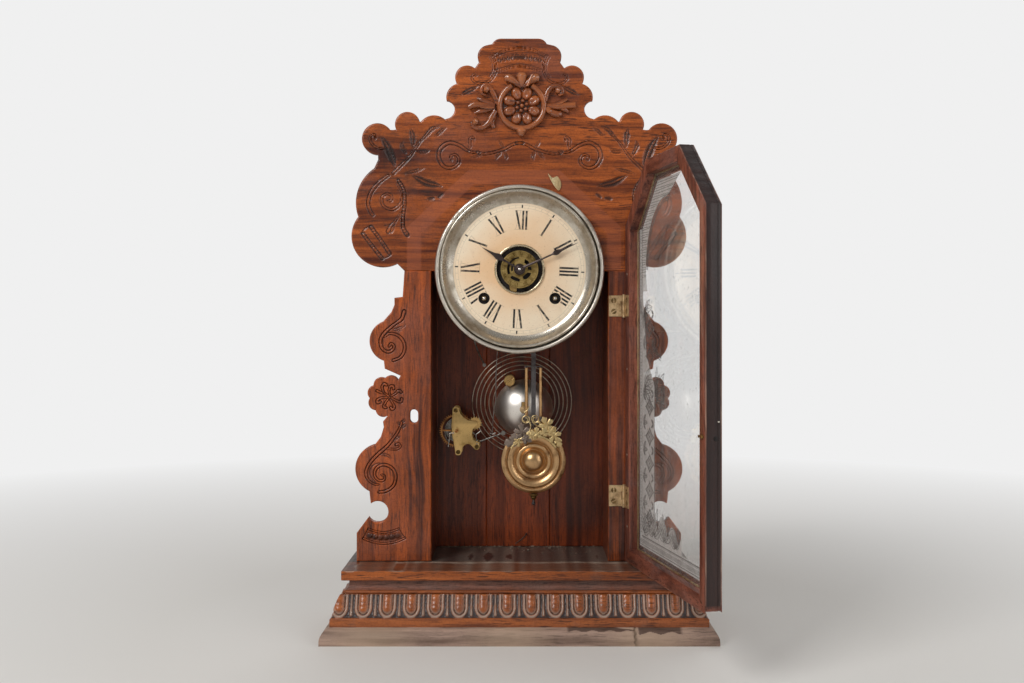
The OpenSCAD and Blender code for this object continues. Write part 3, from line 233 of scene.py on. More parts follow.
def onDoor(points):
    # from the door's own place (x left along the door is negative, y outwards is negative) to where it
    # stands open
    p = np.asarray(points, float)
    c, s = math.cos(doorAngle), math.sin(doorAngle)
    return np.column_stack([pinPlace[0] + c * p[:, 0] - s * p[:, 1], pinPlace[1] + s * p[:, 0] + c * p[:, 1],
                            p[:, 2]])


def onBoard(x, y, depth=faceY):
    # where a point of the photograph lies on a plane of the clock, in mm
    scale = (depth + 1070) / 1107
    return 3.3 + (x - 523) * scale, 287 - (y - 329) * scale



# shader helpers
def setInputs(tree, node, values):
    # a value that is another node's output is linked, any other is set on the socket itself
    for key, value in values.items():
        if isinstance(value, bpy.types.NodeSocket):
            tree.links.new(value, node.inputs[key])
        else:
            node.inputs[key].default_value = value


def add(tree, kind, values=None, **settings):
    node = tree.nodes.new("ShaderNode" + kind)
    for key, value in settings.items():
        setattr(node, key, value)
    setInputs(tree, node, values or {})
    return node


def calc(tree, how, a, b=0.0):
    return add(tree, "Math", {0: a, 1: b}, operation=how).outputs[0]


def times(tree, a, b):
    return calc(tree, "MULTIPLY", a, b)


def plus(tree, a, b):
    return calc(tree, "ADD", a, b)


def onVector(tree, how, a, b=(0, 0, 0), out=0):
    return add(tree, "VectorMath", {0: a, 1: b}, operation=how).outputs[out]


def noise(tree, vector, scale, detail=2, roughness=0.5, out=0):
    return add(tree, "TexNoise", {"Vector": vector, "Scale": scale, "Detail": detail,
                                  "Roughness": roughness}).outputs[out]


def blendColour(tree, amount, a, b):
    return add(tree, "Mix", {0: amount, 6: a, 7: b}, data_type="RGBA").outputs[2]


def span(tree, value, low, high, toLow=0.0, toHigh=1.0):
    return add(tree, "MapRange", {"Value": value, "From Min": low, "From Max": high, "To Min": toLow,
                                  "To Max": toHigh}).outputs[0]


def bumpOf(tree, height, strength, distance):
    return add(tree, "Bump", {"Strength": strength, "Distance": distance, "Height": height}).outputs[0]


def markOf(tree, name):
    return add(tree, "Attribute", attribute_name=name).outputs["Fac"]


def effect(name, inputs, outputs):
    # a node group whose named inputs each material sets for itself; the first is always the place
    group = bpy.data.node_groups.new(name, "ShaderNodeTree")
    group.interface.new_socket(name="Vector", in_out="INPUT", socket_type="NodeSocketVector")
    for label, kind, value in inputs:
        group.interface.new_socket(name=label, in_out="INPUT",
                                   socket_type="NodeSocket" + kind).default_value = value
    for label, kind in outputs:
        group.interface.new_socket(name=label, in_out="OUTPUT", socket_type="NodeSocket" + kind)
    return group, group.nodes.new("NodeGroupInput").outputs, group.nodes.new("NodeGroupOutput")


def use(tree, group, **values):
    named = {key.replace("_", " "): value for key, value in values.items()}
    return add(tree, "Group", named, node_tree=group).outputs


# Oak: long streaks along x, short dark pores and a slow wandering figure
oakFigure, given, result = effect("oakFigure", [("Pore Size", "Float", 1.0)],
                                  [("Tone", "Float"), ("Pores", "Float"), ("Height", "Float")])
t = oakFigure
wander = noise(t, given[0], 9, out=1)
bent = onVector(t, "ADD", given[0], onVector(t, "MULTIPLY", wander, (0, 0.012, 0.012)))
stretched = [add(t, "Mapping", {"Vector": bent, "Scale": s}).outputs[0]
             for s in ((3.5, 130, 130), (2.2, 26, 26), (70, 900, 900))]
streaks = noise(t, stretched[0], 1, 5, 0.62)
rings = add(t, "TexNoise", {"Vector": stretched[1], "Scale": 1, "Detail": 3, "Distortion": 0.8}).outputs[0]
poreNoise = noise(t, stretched[2], given[1], 1)
pores = times(t, span(t, poreNoise, 0.56, 0.66), span(t, rings, 0.35, 0.62, 0.2, 1))
setInputs(t, result, {0: plus(t, times(t, streaks, 0.74), times(t, rings, 0.26)), 1: pores,
                      2: calc(t, "SUBTRACT", times(t, streaks, 0.5), pores)})

# Grime: cloudy patches where varnish has darkened or dust has settled
grime, given, result = effect("grime", [("Size", "Float", 30.0), ("Cover", "Float", 0.5)],
                              [("Mask", "Float")])
cloud = noise(grime, given[0], given[1], 6, 0.65)
setInputs(grime, result, {0: span(grime, cloud, calc(grime, "SUBTRACT", 0.75, times(grime, given[2], 0.5)),
                                  0.75)})

# Crazing: the fine net of cracks in old varnish
crazing, given, result = effect("crazing", [("Size", "Float", 300.0)], [("Cracks", "Float")])
shake = noise(crazing, given[0], 120, out=1)
moved = onVector(crazing, "ADD", given[0], onVector(crazing, "MULTIPLY", shake, (0.006, 0.006, 0.006)))
cells = add(crazing, "TexVoronoi", {"Vector": moved, "Scale": given[1]},
            feature="DISTANCE_TO_EDGE").outputs["Distance"]
setInputs(crazing, result, {0: span(crazing, cells, 0.0, 0.09, 1, 0)})

# Tarnish: brown and dark spots over metal
tarnish, given, result = effect("tarnish", [("Clean", "Color", (1, 1, 1, 1)), ("Dull", "Color", (0, 0, 0, 1)),
                                            ("Amount", "Float", 0.5), ("Size", "Float", 90.0)],
                                [("Color", "Color"), ("Roughness", "Float"), ("Height", "Float")])
t = tarnish
patches = noise(t, given[0], given[4], 7, 0.7)
specks = noise(t, given[0], 900)
much = span(t, patches, calc(t, "SUBTRACT", 0.72, times(t, given[3], 0.45)), 0.72)
much = calc(t, "MAXIMUM", much, times(t, span(t, specks, 0.62, 0.7), 0.5))
setInputs(t, result, {0: blendColour(t, much, given[1], given[2]), 1: span(t, much, 0, 1, 0, 0.4),
                      2: plus(t, times(t, much, -0.4), times(t, specks, 0.3))})


def newMaterial(name):
    material = bpy.data.materials.new(name)
    material.use_nodes = True
    tree = material.node_tree
    tree.nodes.clear()
    shader = add(tree, "BsdfPrincipled")
    tree.links.new(shader.outputs[0], add(tree, "OutputMaterial").inputs[0])
    return material, tree, shader, add(tree, "TexCoord").outputs["Object"]


def closedDoorMark(tree, place):
    # where the closed door's rim has kept the light and the dust off: a band just inside its outline
    inside = 1.0
    for way, reach in (((1, 0, 0), 0.0975), ((-1, 0, 0), 0.108), ((0, 0, 1), 0.4395),
                       ((0.6803, 0, 0.7329), 0.3481),
                       ((-0.6803, 0, 0.7329), 0.3553)):
        along = onVector(tree, "DOT_PRODUCT", place, way, "Value")
        inside = calc(tree, "MINIMUM", inside, calc(tree, "SUBTRACT", reach, along))
    return times(tree, span(tree, inside, -0.0004, 0.0006), span(tree, inside, 0.0146, 0.0128))


def toned(tone, factor):
    # a tone made lighter or darker, no channel above full
    return tuple(min(1, c * factor) for c in tone[:3]) + (1,)


def woodMaterial(name, dark, light, grain="x", gloss=0.32, coat=0.25, dusty=(132, 92, 66), dust=0.25,
                 dustSize=25,
                 carved=False, crazed=0.25, rimTone=None, hollow=(22, 12, 10), ghost=False, contrast=0.12):
    # varnished oak: grain runs along x, y or z; carved pieces darken in their hollows with painted shade and
    # dark varnish
    material, tree, shader, place = newMaterial(name)
    dark, light = colour(*dark), colour(*light)
    turned = {"x": (0, 0, 0), "y": (0, 0, math.radians(90)), "z": (0, math.radians(90), 0)}[grain]
    along = add(tree, "Mapping", {"Vector": place, "Rotation": turned}).outputs[0]
    figure = use(tree, oakFigure, Vector=along, Pore_Size=1.0)
    wood = blendColour(tree, span(tree, figure["Tone"], 0.5 - contrast, 0.5 + contrast), dark, light)
    wood = blendColour(tree, span(tree, noise(tree, along, 8, 3, 0.6), 0.42, 0.68, 0, 0.34), wood, dark)
    wood = blendColour(tree, times(tree, figure["Pores"], 0.8), wood, toned(dark, 0.25))
    patches = use(tree, grime, Vector=place, Size=dustSize, Cover=dust)["Mask"]
    cracks = use(tree, crazing, Vector=place, Size=260)["Cracks"]
    wood = blendColour(tree, times(tree, patches, 0.55), wood, colour(*dusty))
    wood = blendColour(tree, times(tree, cracks, crazed), wood, toned(dark, 0.2))
    height = plus(tree, times(tree, figure["Height"], 0.5), times(tree, cracks, -crazed))
    rough = plus(tree, span(tree, patches, 0, 1, gloss, gloss + 0.3), times(tree, figure["Pores"], 0.15))
    if ghost:    # the door's mark, and soot that has settled in the carving beside it
        mark = closedDoorMark(tree, place)
        wood = blendColour(tree, times(tree, mark, 0.32), wood, colour(168, 92, 62))
        rough = plus(tree, rough, times(tree, mark, 0.1))
        soot = noise(tree, place, 90, 4)
        for x, z, reach in ((-0.126, 0.456, 0.03), (-0.110, 0.436, 0.026), (-0.088, 0.424, 0.018),
                            (-0.1, 0.462, 0.02)):
            away = onVector(tree, "DISTANCE", place, (x, -0.012, z), "Value")
            here = times(tree, span(tree, away, 0, reach, 0.62, 0), span(tree, soot, 0.36, 0.6))
            wood = blendColour(tree, here, wood, colour(34, 28, 26))
    if carved:
        # where the mark depth is high the colour goes toward hollow, painted shade together with dark varnish
        # in the carved hollows; where the mark rim is high it goes toward the rim tone, worn edges on most
        # pieces and painted highlights on the crest and the egg moulding
        depth = markOf(tree, "depth")
        wood = blendColour(tree, span(tree, depth, 0.2, 1.15, 0, 0.92), wood, colour(*hollow))
        wood = blendColour(tree, times(tree, markOf(tree, "rim"), 0.8 if rimTone else 0.6), wood,
                           colour(*rimTone) if rimTone else toned(light, 1.7))
        lumps = times(tree, noise(tree, place, 420), span(tree, depth, 0.1, 1.2))
        height = plus(tree, height, times(tree, lumps, 2.2))
    setInputs(tree, shader, {"Base Color": wood, "Roughness": rough,
                             "Normal": bumpOf(tree, height, 0.25, 0.0006),
                             "Coat Weight": coat, "Coat Roughness": 0.12, "Specular IOR Level": 0.3})
    return material


def metalMaterial(name, clean, dull, amount=0.5, size=90, gloss=0.28, bump=0.12, metallic=1.0):
    material, tree, shader, place = newMaterial(name)
    aged = use(tree, tarnish, Vector=place, Clean=colour(*clean), Dull=colour(*dull), Amount=amount,
               Size=size)
    setInputs(tree, shader, {"Base Color": aged["Color"], "Roughness": plus(tree, aged["Roughness"], gloss),
                             "Normal": bumpOf(tree, aged["Height"], bump, 0.0003), "Metallic": metallic})
    return material


headOak = woodMaterial("headOak", (76, 27, 11), (186, 96, 40), carved=True, dust=0.45, dustSize=16,
                       ghost=True, dusty=(124, 70, 56))
stileOak = woodMaterial("stileOak", (62, 23, 8), (184, 88, 30), grain="z", carved=True, dust=0.62,
                        dustSize=14, dusty=(146, 88, 72), contrast=0.1)
# the crest's rim tone is a painted highlight on its highest points, its hollow colour painted shade where it
# meets the board
crestOak = woodMaterial("crestOak", (84, 36, 16), (170, 90, 42), carved=True, gloss=0.2, coat=0.85, dust=0.15,
                        rimTone=(190, 112, 60), hollow=(28, 14, 9))
# its rim tone paints the highlights on the egg moulding's shells and eggs, its hollow colour the shade in the
# grooves
baseOak = woodMaterial("baseOak", (104, 52, 26), (176, 98, 48), carved=True, gloss=0.34, coat=0.35, dust=0.35,
                       dusty=(110, 92, 82), rimTone=(176, 160, 146), hollow=(44, 40, 40))
coveOak = woodMaterial("coveOak", (84, 48, 38), (140, 92, 74), gloss=0.4, dust=0.7, dusty=(120, 104, 98))
# its hollow colour darkens the board's top, and paints the shade on it inside the case
boardOak = woodMaterial("boardOak", (92, 42, 18), (172, 92, 40), carved=True, dust=0.3, dusty=(96, 80, 70),
                        rimTone=(176, 164, 148), hollow=(46, 40, 40))
footOak = woodMaterial("footOak", (104, 82, 70), (196, 166, 148), carved=True, gloss=0.55, coat=0.0, dust=0.8,
                       dusty=(168, 142, 126), crazed=0.1, rimTone=(176, 152, 128), hollow=(48, 28, 20))
innerOak = woodMaterial("innerOak", (82, 30, 10), (150, 66, 26), grain="z", gloss=0.34, coat=0.15, dust=0.25,
                        dusty=(92, 60, 44))
sideOak = woodMaterial("sideOak", (66, 28, 18), (128, 62, 36), grain="z", gloss=0.35, coat=0.2)
agedBrass = metalMaterial("agedBrass", (196, 160, 104), (104, 74, 40), 0.55)
bobBrass = metalMaterial("bobBrass", (198, 160, 116), (120, 84, 52), 0.45, 60, 0.3)
wornBrass = metalMaterial("wornBrass", (222, 194, 152), (140, 112, 80), 0.7, 120, 0.45)
plateBrass = metalMaterial("plateBrass", (204, 170, 112), (136, 104, 54), 0.5, 50)
agedSteel = metalMaterial("agedSteel", (150, 146, 140), (70, 58, 48), 0.6)
rimTin = metalMaterial("rimTin", (222, 214, 202), (158, 146, 130), 0.55, 55, 0.3)
bowlTin = metalMaterial("bowlTin", (202, 194, 180), (138, 122, 100), 0.6, 40, 0.26)
ringBrass = metalMaterial("ringBrass", (206, 190, 160), (120, 104, 84), 0.45, 90, 0.24)
doorTones = dict(dark=(70, 32, 24), light=(158, 92, 70), carved=True, gloss=0.36, coat=0.25, dust=0.5,
                 dusty=(122, 96, 92), rimTone=(178, 150, 132), hollow=(34, 26, 26), crazed=0.3)
doorFaceOak = {"z": woodMaterial("doorOakUpright", grain="z", **doorTones),
               "y": woodMaterial("doorOakAcross", grain="y", **doorTones)}
beadTan = woodMaterial("beadTan", (96, 72, 46), (160, 128, 88), grain="z", gloss=0.5, coat=0.1, dust=0.6,
                       dusty=(150, 142, 130))
screwBrass = metalMaterial("screwBrass", (150, 124, 84), (80, 62, 44), 0.8, 240, 0.42)
palePin = metalMaterial("palePin", (226, 218, 204), (160, 148, 130), 0.3, 300, 0.35, metallic=0.5)
# a near-black finish for painted shade, where holes and gaps show only darkness
paintedShade = metalMaterial("paintedShade", (26, 18, 16), (14, 10, 9), 0.5, 200, 0.7, metallic=0.0)
gongSteel = metalMaterial("gongSteel", (200, 184, 166), (116, 86, 66), 0.55, 60, 0.28)
bellNickel = metalMaterial("bellNickel", (238, 232, 224), (190, 176, 160), 0.3, 30, 0.36)
darkBrass = metalMaterial("darkBrass", (120, 96, 56), (70, 54, 34), 0.7, 200, 0.4)
copperBrass = metalMaterial("copperBrass", (184, 128, 78), (112, 74, 44), 0.6, 90, 0.34)
rodSteel = metalMaterial("rodSteel", (104, 100, 100), (62, 54, 52), 0.5, 120, 0.36)
tubeBrass = metalMaterial("tubeBrass", (214, 172, 122), (140, 100, 70), 0.5, 120, 0.34)
leafBrass = metalMaterial("leafBrass", (206, 182, 132), (140, 108, 66), 0.5, 160, 0.36)
leafGrey = metalMaterial("leafGrey", (140, 126, 116), (100, 84, 68), 0.6, 160, 0.45)
paleChip = woodMaterial("paleChip", (168, 138, 92), (222, 204, 160), grain="z", gloss=0.5, coat=0.1, dust=0.1)


def printMaterial(name, tone, low, high, fade):
    # stencil paint: its cover thins out in patches
    material, tree, shader, place = newMaterial(name)
    setInputs(tree, shader, {"Alpha": span(tree, noise(tree, place, 70, 4), 0.32, 0.68, low, high),
                             "Roughness": 0.6,
                             "Base Color": blendColour(tree, noise(tree, place, 500), colour(*tone),
                                                       colour(*fade))})
    return material


stencilPaint = printMaterial("stencilPaint", (52, 46, 44), 0.7, 0.96, (92, 84, 80))
stencilWash = printMaterial("stencilWash", (186, 182, 178), 0.5, 0.72, (210, 206, 202))
handSteel = metalMaterial("handSteel", (84, 74, 72), (52, 42, 40), 0.5, 120, 0.3, bump=0.2)
polishedSteel = metalMaterial("polishedSteel", (222, 218, 210), (150, 144, 136), 0.3, 200, 0.12)
cutBrass = metalMaterial("cutBrass", (86, 66, 36), (60, 44, 26), 0.5, 200, 0.5)
discBrass = metalMaterial("discBrass", (170, 146, 92), (104, 84, 48), 0.7, 110, 0.5)


def paperAndInk(name, isInk):
    # aged paper, warmer to the dial's middle, foxed and a little soiled; ink takes the mark "ink" for its
    # strength
    material, tree, shader, place = newMaterial(name)
    away = onVector(tree, "MULTIPLY", onVector(tree, "ADD", place, (0, 0, -0.344)), (1, 0, 1))
    far = onVector(tree, "LENGTH", away, out="Value")
    cloud = noise(tree, place, 22, 4, 0.55)
    warm = plus(tree, span(tree, far, 0.022, 0.064, 1, 0),
                times(tree, calc(tree, "SUBTRACT", cloud, 0.5), 1.5))
    tone = blendColour(tree, warm, colour(246, 228, 200), colour(236, 196, 152))
    soil = use(tree, grime, Vector=place, Size=60, Cover=0.3)["Mask"]
    fleck = span(tree, noise(tree, place, 900, 1), 0.66, 0.74)
    for cover, much, stain in ((soil, 0.22, (196, 150, 106)), (fleck, 0.35, (150, 104, 70)),
                               (span(tree, far, 0.0615, 0.0645), 0.4, (170, 132, 96))):
        tone = blendColour(tree, times(tree, cover, much), tone, colour(*stain))
    if isInk:
        worn = span(tree, noise(tree, place, 300, 3), 0.36, 0.5, 0.72, 1)
        tone = blendColour(tree, times(tree, markOf(tree, "ink"), worn), tone, colour(26, 24, 24))
    setInputs(tree, shader, {"Base Color": tone, "Roughness": 0.55,
                             "Normal": bumpOf(tree, noise(tree, place, 1400), 0.08, 0.0002)})
    return material


dialPaper = paperAndInk("dialPaper", False)
dialInk = paperAndInk("dialInk", True)
print("finishes made")



# pressed boards: a fine grid inside the outline, lowered where the die pressed it
def arc(cx, cz, r, start, end, steps):
    a = np.radians(np.linspace(start, end, steps + 1))
    return np.column_stack([cx + r * np.cos(a), cz + r * np.sin(a)])


def outlineDistance(p, loops):
    # distance from each point to the nearest edge of the outlines, the nearest point there, and whether it
    # lies inside
    best, near, inside = np.full(len(p), 1e9), np.zeros_like(p), np.zeros(len(p), bool)
    for loop in loops:
        for a, b in zip(loop, np.roll(loop, -1, 0)):
            d = b - a
            t = np.clip(((p - a) @ d) / (d @ d + 1e-12), 0, 1)
            q = a + t[:, None] * d
            gap = np.hypot(*(p - q).T)
            closer = gap < best
            best[closer], near[closer] = gap[closer], q[closer]
            crosses = (a[1] > p[:, 1]) != (b[1] > p[:, 1])
            with np.errstate(divide="ignore", invalid="ignore"):
                inside ^= crosses & (p[:, 0] < (b[0] - a[0]) * (p[:, 1] - a[1]) / (b[1] - a[1]) + a[0])
    return best, near, inside


def strokeDepth(x, z, stroke):
    # how deep one stroke presses: across it runs a rib between two furrows, a plain furrow, beads or a
    # veined leaf
    line = smoothLine(stroke["line"], 40 * len(stroke["line"]))
    steps = np.hypot(*np.diff(line, axis=0).T)
    along = np.concatenate([[0], np.cumsum(steps)])
    part = along / along[-1]
    wide = np.interp(part, np.linspace(0, 1, len(stroke["wide"])), stroke["wide"])
    reach = wide.max()
    depth = np.zeros(x.shape)
    low, high = line.min(0) - reach, line.max(0) + reach
    box = (x > low[0]) & (x < high[0]) & (z > low[1]) & (z < high[1])
    if not box.any():
        return depth
    p = np.column_stack([x[box], z[box]])
    gap = np.hypot(p[:, None, 0] - line[None, :, 0], p[:, None, 1] - line[None, :, 1])
    i = gap.argmin(1)
    s = gap[np.arange(len(p)), i] / (wide[i] + 1e-6)    # 0 on the line, 1 at the stroke's edge
    a = along[i]
    if stroke["kind"] == "rib":    # a groove on either side of a round rib
        shape = (s < 1.08) * 1.05 * np.exp(-((s - 0.68) / 0.25) ** 2)
    elif stroke["kind"] == "furrow":
        shape = np.clip(1 - s ** 2, 0, None)
    elif stroke["kind"] == "rope":    # the same rib, cut across
        cuts = 0.4 * (1 - np.clip(s, 0, 1)) * (1 + np.cos(a * 2.4))
        shape = (s < 1.08) * (np.exp(-((s - 0.72) / 0.25) ** 2) + cuts)
    else:    # a leaf with its veins
        vein = np.exp(-(s * wide[i] / 0.55) ** 2) + 0.45 * np.clip(np.cos((a - s * wide[i]) * 2.6), 0, None)
        shape = np.clip(1 - s ** 4, 0, None) * (1 - 0.7 * np.clip(vein, 0, 1))
    depth[box] = np.clip(shape, 0, 1.2) * stroke["deep"]
    return depth


def carvedBoard(name, loops, strokes, node, material, pitch, flip=False, bump=None):
    # loops are the outline and any hole; flip turns the board over to the clock's other side
    if flip:
        loops = [loop * (-1, 1) for loop in loops]
    low, high = loops[0].min(0) - pitch, loops[0].max(0) + pitch
    x, z = np.meshgrid(np.arange(low[0], high[0] + pitch, pitch), np.arange(low[1], high[1] + pitch, pitch))
    rows, cols = x.shape
    centres = np.column_stack([(x[:-1, :-1] + pitch / 2).ravel(), (z[:-1, :-1] + pitch / 2).ravel()])
    keep = outlineDistance(centres, loops)[2].reshape(rows - 1, cols - 1)
    for _ in range(4):    # no two cells may meet at a corner only
        a, b, c, d = keep[:-1, :-1], keep[:-1, 1:], keep[1:, :-1], keep[1:, 1:]
        keep[:-1, :-1] &= ~(a & d & ~b & ~c)
        keep[:-1, 1:] &= ~(b & c & ~a & ~d)
    quads = gridFaces(rows, cols).reshape(rows - 1, cols - 1, 4)[keep]
    used, faces = np.unique(quads, return_inverse=True)
    faces = faces.reshape(-1, 4)
    p = np.column_stack([x.ravel()[used], z.ravel()[used]])
    edges = np.concatenate([faces[:, [k, (k + 1) % 4]] for k in range(4)])
    _, first, count = np.unique(np.sort(edges, 1) @ np.array([len(p), 1]), return_index=True,
                                return_counts=True)
    border = edges[first[count == 1]]
    gap, near, _ = outlineDistance(p, loops)
    rimPoints = np.unique(border)
    p[rimPoints] = near[rimPoints]
    gap[rimPoints] = 0
    carvedX = -p[:, 0] if flip else p[:, 0]
    depth = np.zeros(len(p))
    for stroke in strokes:
        depth = np.maximum(depth, strokeDepth(carvedX, p[:, 1], stroke))
    rounded = np.where(gap < 1.3, 1.3 - np.sqrt(np.clip(1.69 - (1.3 - gap) ** 2, 0, None)), 0) * 0.8
    y = faceY + depth + rounded + (0 if bump is None else bump(p[:, 0], p[:, 1]))
    front = np.column_stack([p[:, 0], y, p[:, 1]])
    # the walls, down to the back, and the back itself
    number = np.full(len(p), -1)
    number[rimPoints] = np.arange(len(rimPoints)) + len(p)
    rear = np.column_stack([p[rimPoints, 0], np.full(len(rimPoints), -2.0), p[rimPoints, 1]])
    walls = np.column_stack([border[:, 1], border[:, 0], number[border[:, 0]], number[border[:, 1]]])
    after = {int(a): int(b) for a, b in border}
    chains = []
    while after:
        start = next(iter(after))
        chain, step = [], start
        while step in after:
            chain.append(step)
            step = after.pop(step)
        chains.append(chain)
    chains.sort(key=len, reverse=True)
    order = [i for chain in chains for i in chain]
    fill = number[order][filled(p[order], [p[chain] for chain in chains])]
    points = np.vstack([front, rear])
    wear = 0.24 + 0.3 * np.sin(p[:, 0] * 0.31 + 2) * np.sin(p[:, 1] * 0.17) + \
        0.1 * np.sin(p[:, 1] * 0.5 + p[:, 0] * 0.6)
    worn = np.clip(np.exp(-gap ** 2) * wear, 0, 1)
    item = piece(name, [(points, faces, walls, fill)], "case", material, node, smooth=55)
    # piece() merges doubles, so each mark goes to the point that lies where it was worked out
    tree = kdtree.KDTree(len(points))
    for i, q in enumerate(points * mm):
        tree.insert(q, i)
    tree.balance()
    found = np.array([tree.find(v.co)[1] for v in item.data.vertices])
    # depth darkens the pressed hollows, painted shade with dark varnish there; rim lightens the worn outline
    # edges
    for mark, values in (("depth", depth), ("rim", worn)):
        onPoints = np.concatenate([values, np.zeros(len(rear))]).astype(np.float32)[found]
        item.data.attributes.new(mark, "FLOAT", "POINT").data.foreach_set("value", onPoints)


headHalf = np.vstack([[[0, 565.5]], arc(18, 556.5, 9, 90, 25, 8), arc(29.2, 548.4, 11, 80, -30, 14),
                      arc(50.3, 528.3, 11.5, 130, -30, 18), arc(56.9, 509.1, 13.4, 77, -15, 14),
                      arc(71.2, 497.6, 9, 100, 262, 16), arc(82, 476, 16, 131, 38, 14),
                      arc(107.5, 483.3, 12, 168, -25, 18),
                      [[121.4, 477.8]], arc(136.2, 469.4, 15, 145, -92, 24), [[135.6, 449.4]],
                      arc(117, 408, 40, 56, -19, 22), arc(131.5, 376, 29.7, 39, -118, 28), [[110.4, 342.7]]])
headOutline = np.vstack([headHalf, headHalf[::-1][:-1] * (-1, 1)])[::-1]
rosettePlace = np.array([125.7, 222.2])
stileOutline = np.vstack([[[84.9, 64.4], [84.9, 342.7], [110.4, 342.7], [112.1, 317.9], [120, 316.9],
                           [120, 310.1], [122.9, 303.3]],
                          arc(123.9, 275.5, 20, 70, -72, 28), [[129.3, 249], [114.1, 242.2]]]
                         + [arc(*(rosettePlace + 13.2 *
                                  np.array([math.cos(math.radians(a)), math.sin(math.radians(a))])),
                                7.4, a + 58, a - 58, 10) for a in range(100, -71, -42)]
                         + [[[131, 198.2], [130.2, 193.1], [133, 183.7]], arc(133.5, 153, 24, 78, -64, 28),
                            [[142.9, 121.5]],
                            arc(136, 111.8, 10.2, 50, 330, 32), [[156.2, 91.4], [156.2, 64.4]]])


def strokes(origin, scale, table, places=((0, 0),)):
    # each stroke is its kind, widths in mm, depth in mm and its points on an enlarged view of the photograph
    made = []
    for row in table.split(";"):
        kind, wide, deep, *points = row.split()
        p = np.array([point.split(",") for point in points], float)
        for right, down in places:
            x, z = onBoard(origin[0] + (p[:, 0] + right) / scale, origin[1] + (p[:, 1] + down) / scale)
            made.append({"kind": kind, "wide": np.array(wide.split(","), float), "deep": float(deep),
                         "line": np.column_stack([x, z])})
    return made


def mirrored(made):
    return [{**s, "line": s["line"] * (-1, 1)} for s in made]


headSides = """
rib 1.6,2.2,2.4,2.2 1.1 400,620 320,680 255,760 230,850 250,920 268,945;
rib 1.2,1.8,1.8,1.5 1.1 470,690 510,760 500,850 430,903 355,870 345,805 385,775 425,790 420,830
    395,825;
rope 1.8,2,2,2.6 1.2 480,660 525,740 532,850 520,960 520,1050 552,1110;
rib 0.8,1.6,2.6 1.1 500,920 460,990 420,1040 395,1085;
furrow 0.7,0.9 0.9 440,1010 400,1030 365,1035;
furrow 0.7,0.9 0.9 450,1020 440,1070 420,1095;
rope 2.2,2.2 1.2 190,1105 265,1205 345,1305;
rope 2.2,2.2 1.2 255,1045 330,1150 408,1265;
furrow 0.8,0.8 1 168,1105 200,1065 258,1030;
furrow 0.8,0.8 1 340,1320 380,1300 418,1278;
rib 2,1.6,1.2 1.2 440,600 500,540 570,470 620,400 655,350 700,300;
leaf 0.5,4.2,5.2,3.6,0.5 1.3 455,560 430,480 400,400 360,330 335,290;
leaf 0.4,2.8,3.4,0.4 1.2 600,400 600,340 595,280 580,225;
leaf 0.4,2.4,2.8,0.4 1.2 660,340 710,290 760,235 830,215;
leaf 0.4,2.2,2.6,0.4 1.2 560,470 530,420 510,370 520,330;
leaf 0.4,2.4,2.4,0.4 1.2 620,420 670,425 720,420 740,405;
leaf 0.4,2,2,0.3 1.2 760,290 800,285 840,250 885,220;
rib 1.6,1.6,1.2 1.2 350,400 300,390 255,350 250,300 285,285 290,315;
leaf 0.4,2,2.2,0.3 1.2 520,610 570,595 630,580 700,560;
leaf 0.5,3.6,4.6,3.4,0.4 1.3 590,620 650,650 710,680 770,695 850,712;
furrow 2.6,2.8,2.2 1 735,815 750,812 768,808;
furrow 2,2.2,1.6 1 815,800 828,790 845,775;
rib 1.3,2.2,2.6,2.4,1.8,1.4 1.2 1150,440 1060,420 985,372 900,352 832,395 812,465 845,535 905,560
    965,535 982,490 955,452 915,462 920,495;
rib 1.2,1.8,1 1.1 1060,415 1075,370 1070,325 1095,305 1105,335"""
headMiddle = """
rib 1.8,2,1.6 1.2 776,447 740,453 708,470 660,484 630,487 610,480;
leaf 0.3,1.8,1.8,0.3 1.1 708,470 700,455 690,440 688,436;
leaf 0.3,2,2,0.3 1.1 706,474 714,490 716,502 712,512;
leaf 0.3,2,2,0.3 1.1 704,474 690,488 680,500 676,512;
leaf 0.3,1.4,1.4,0.3 1.1 640,486 622,492 600,498 580,500"""
headCrown = """
rib 0.9,1.1,1.1 1 500,225 600,180 700,162 762,156;
furrow 0.7,0.8,0.8 0.9 498,252 600,205 700,187 762,181;
furrow 0.7,0.9,0.9 0.9 520,362 620,330 700,314 762,308;
rib 0.9,1.1,1.1 0.9 530,384 625,352 700,336 762,330;
rib 1.2,1.4,1.6,1.6,1.2 1.1 480,235 508,290 515,370 480,445 412,492 340,488 296,450 305,412 335,418;
furrow 0.6,0.8 0.7 452,240 480,300 486,370 452,430;
leaf 0.4,2.4,3,0.4 1.3 360,510 300,540 240,570 185,605
"""
stileTop = """
rib 2.6,2,2.2,2.2,2,1.6 1.3 628,505 600,580 520,640 435,715 395,790 412,865 465,900 515,882 528,842
    500,820 480,845;
rib 1.8,2,2,1.4 1.3 520,985 590,955 628,895 630,825 598,765 545,730 482,722 440,750;
leaf 0.4,1.8,1.6,0.3 1.2 490,690 550,680 600,660 645,640;
leaf 0.3,1.2,1.2,0.3 1.1 560,720 570,700 590,690 610,685;
rib 1.2,1.6,1.9 1.3 475,1335 432,1300 412,1250 430,1216 455,1225;
rib 1.2,1.6,1.9 1.3 490,1330 480,1285 490,1240 520,1238 525,1262;
rib 1.2,1.6,1.9 1.3 500,1335 540,1312 575,1280 598,1296;
rib 1.2,1.6,1.9 1.3 440,1310 400,1300 362,1282;
rib 1.2,1.6,1.9 1.3 505,1352 550,1378 595,1392 604,1362;
rib 1.2,1.6,1.9 1.3 460,1350 410,1352 366,1372 365,1398 392,1394;
rib 1.2,1.6,1.9 1.3 470,1362 446,1398 428,1436 448,1448;
rib 1.2,1.6,1.9 1.3 490,1365 515,1402 532,1445 512,1466 498,1448"""
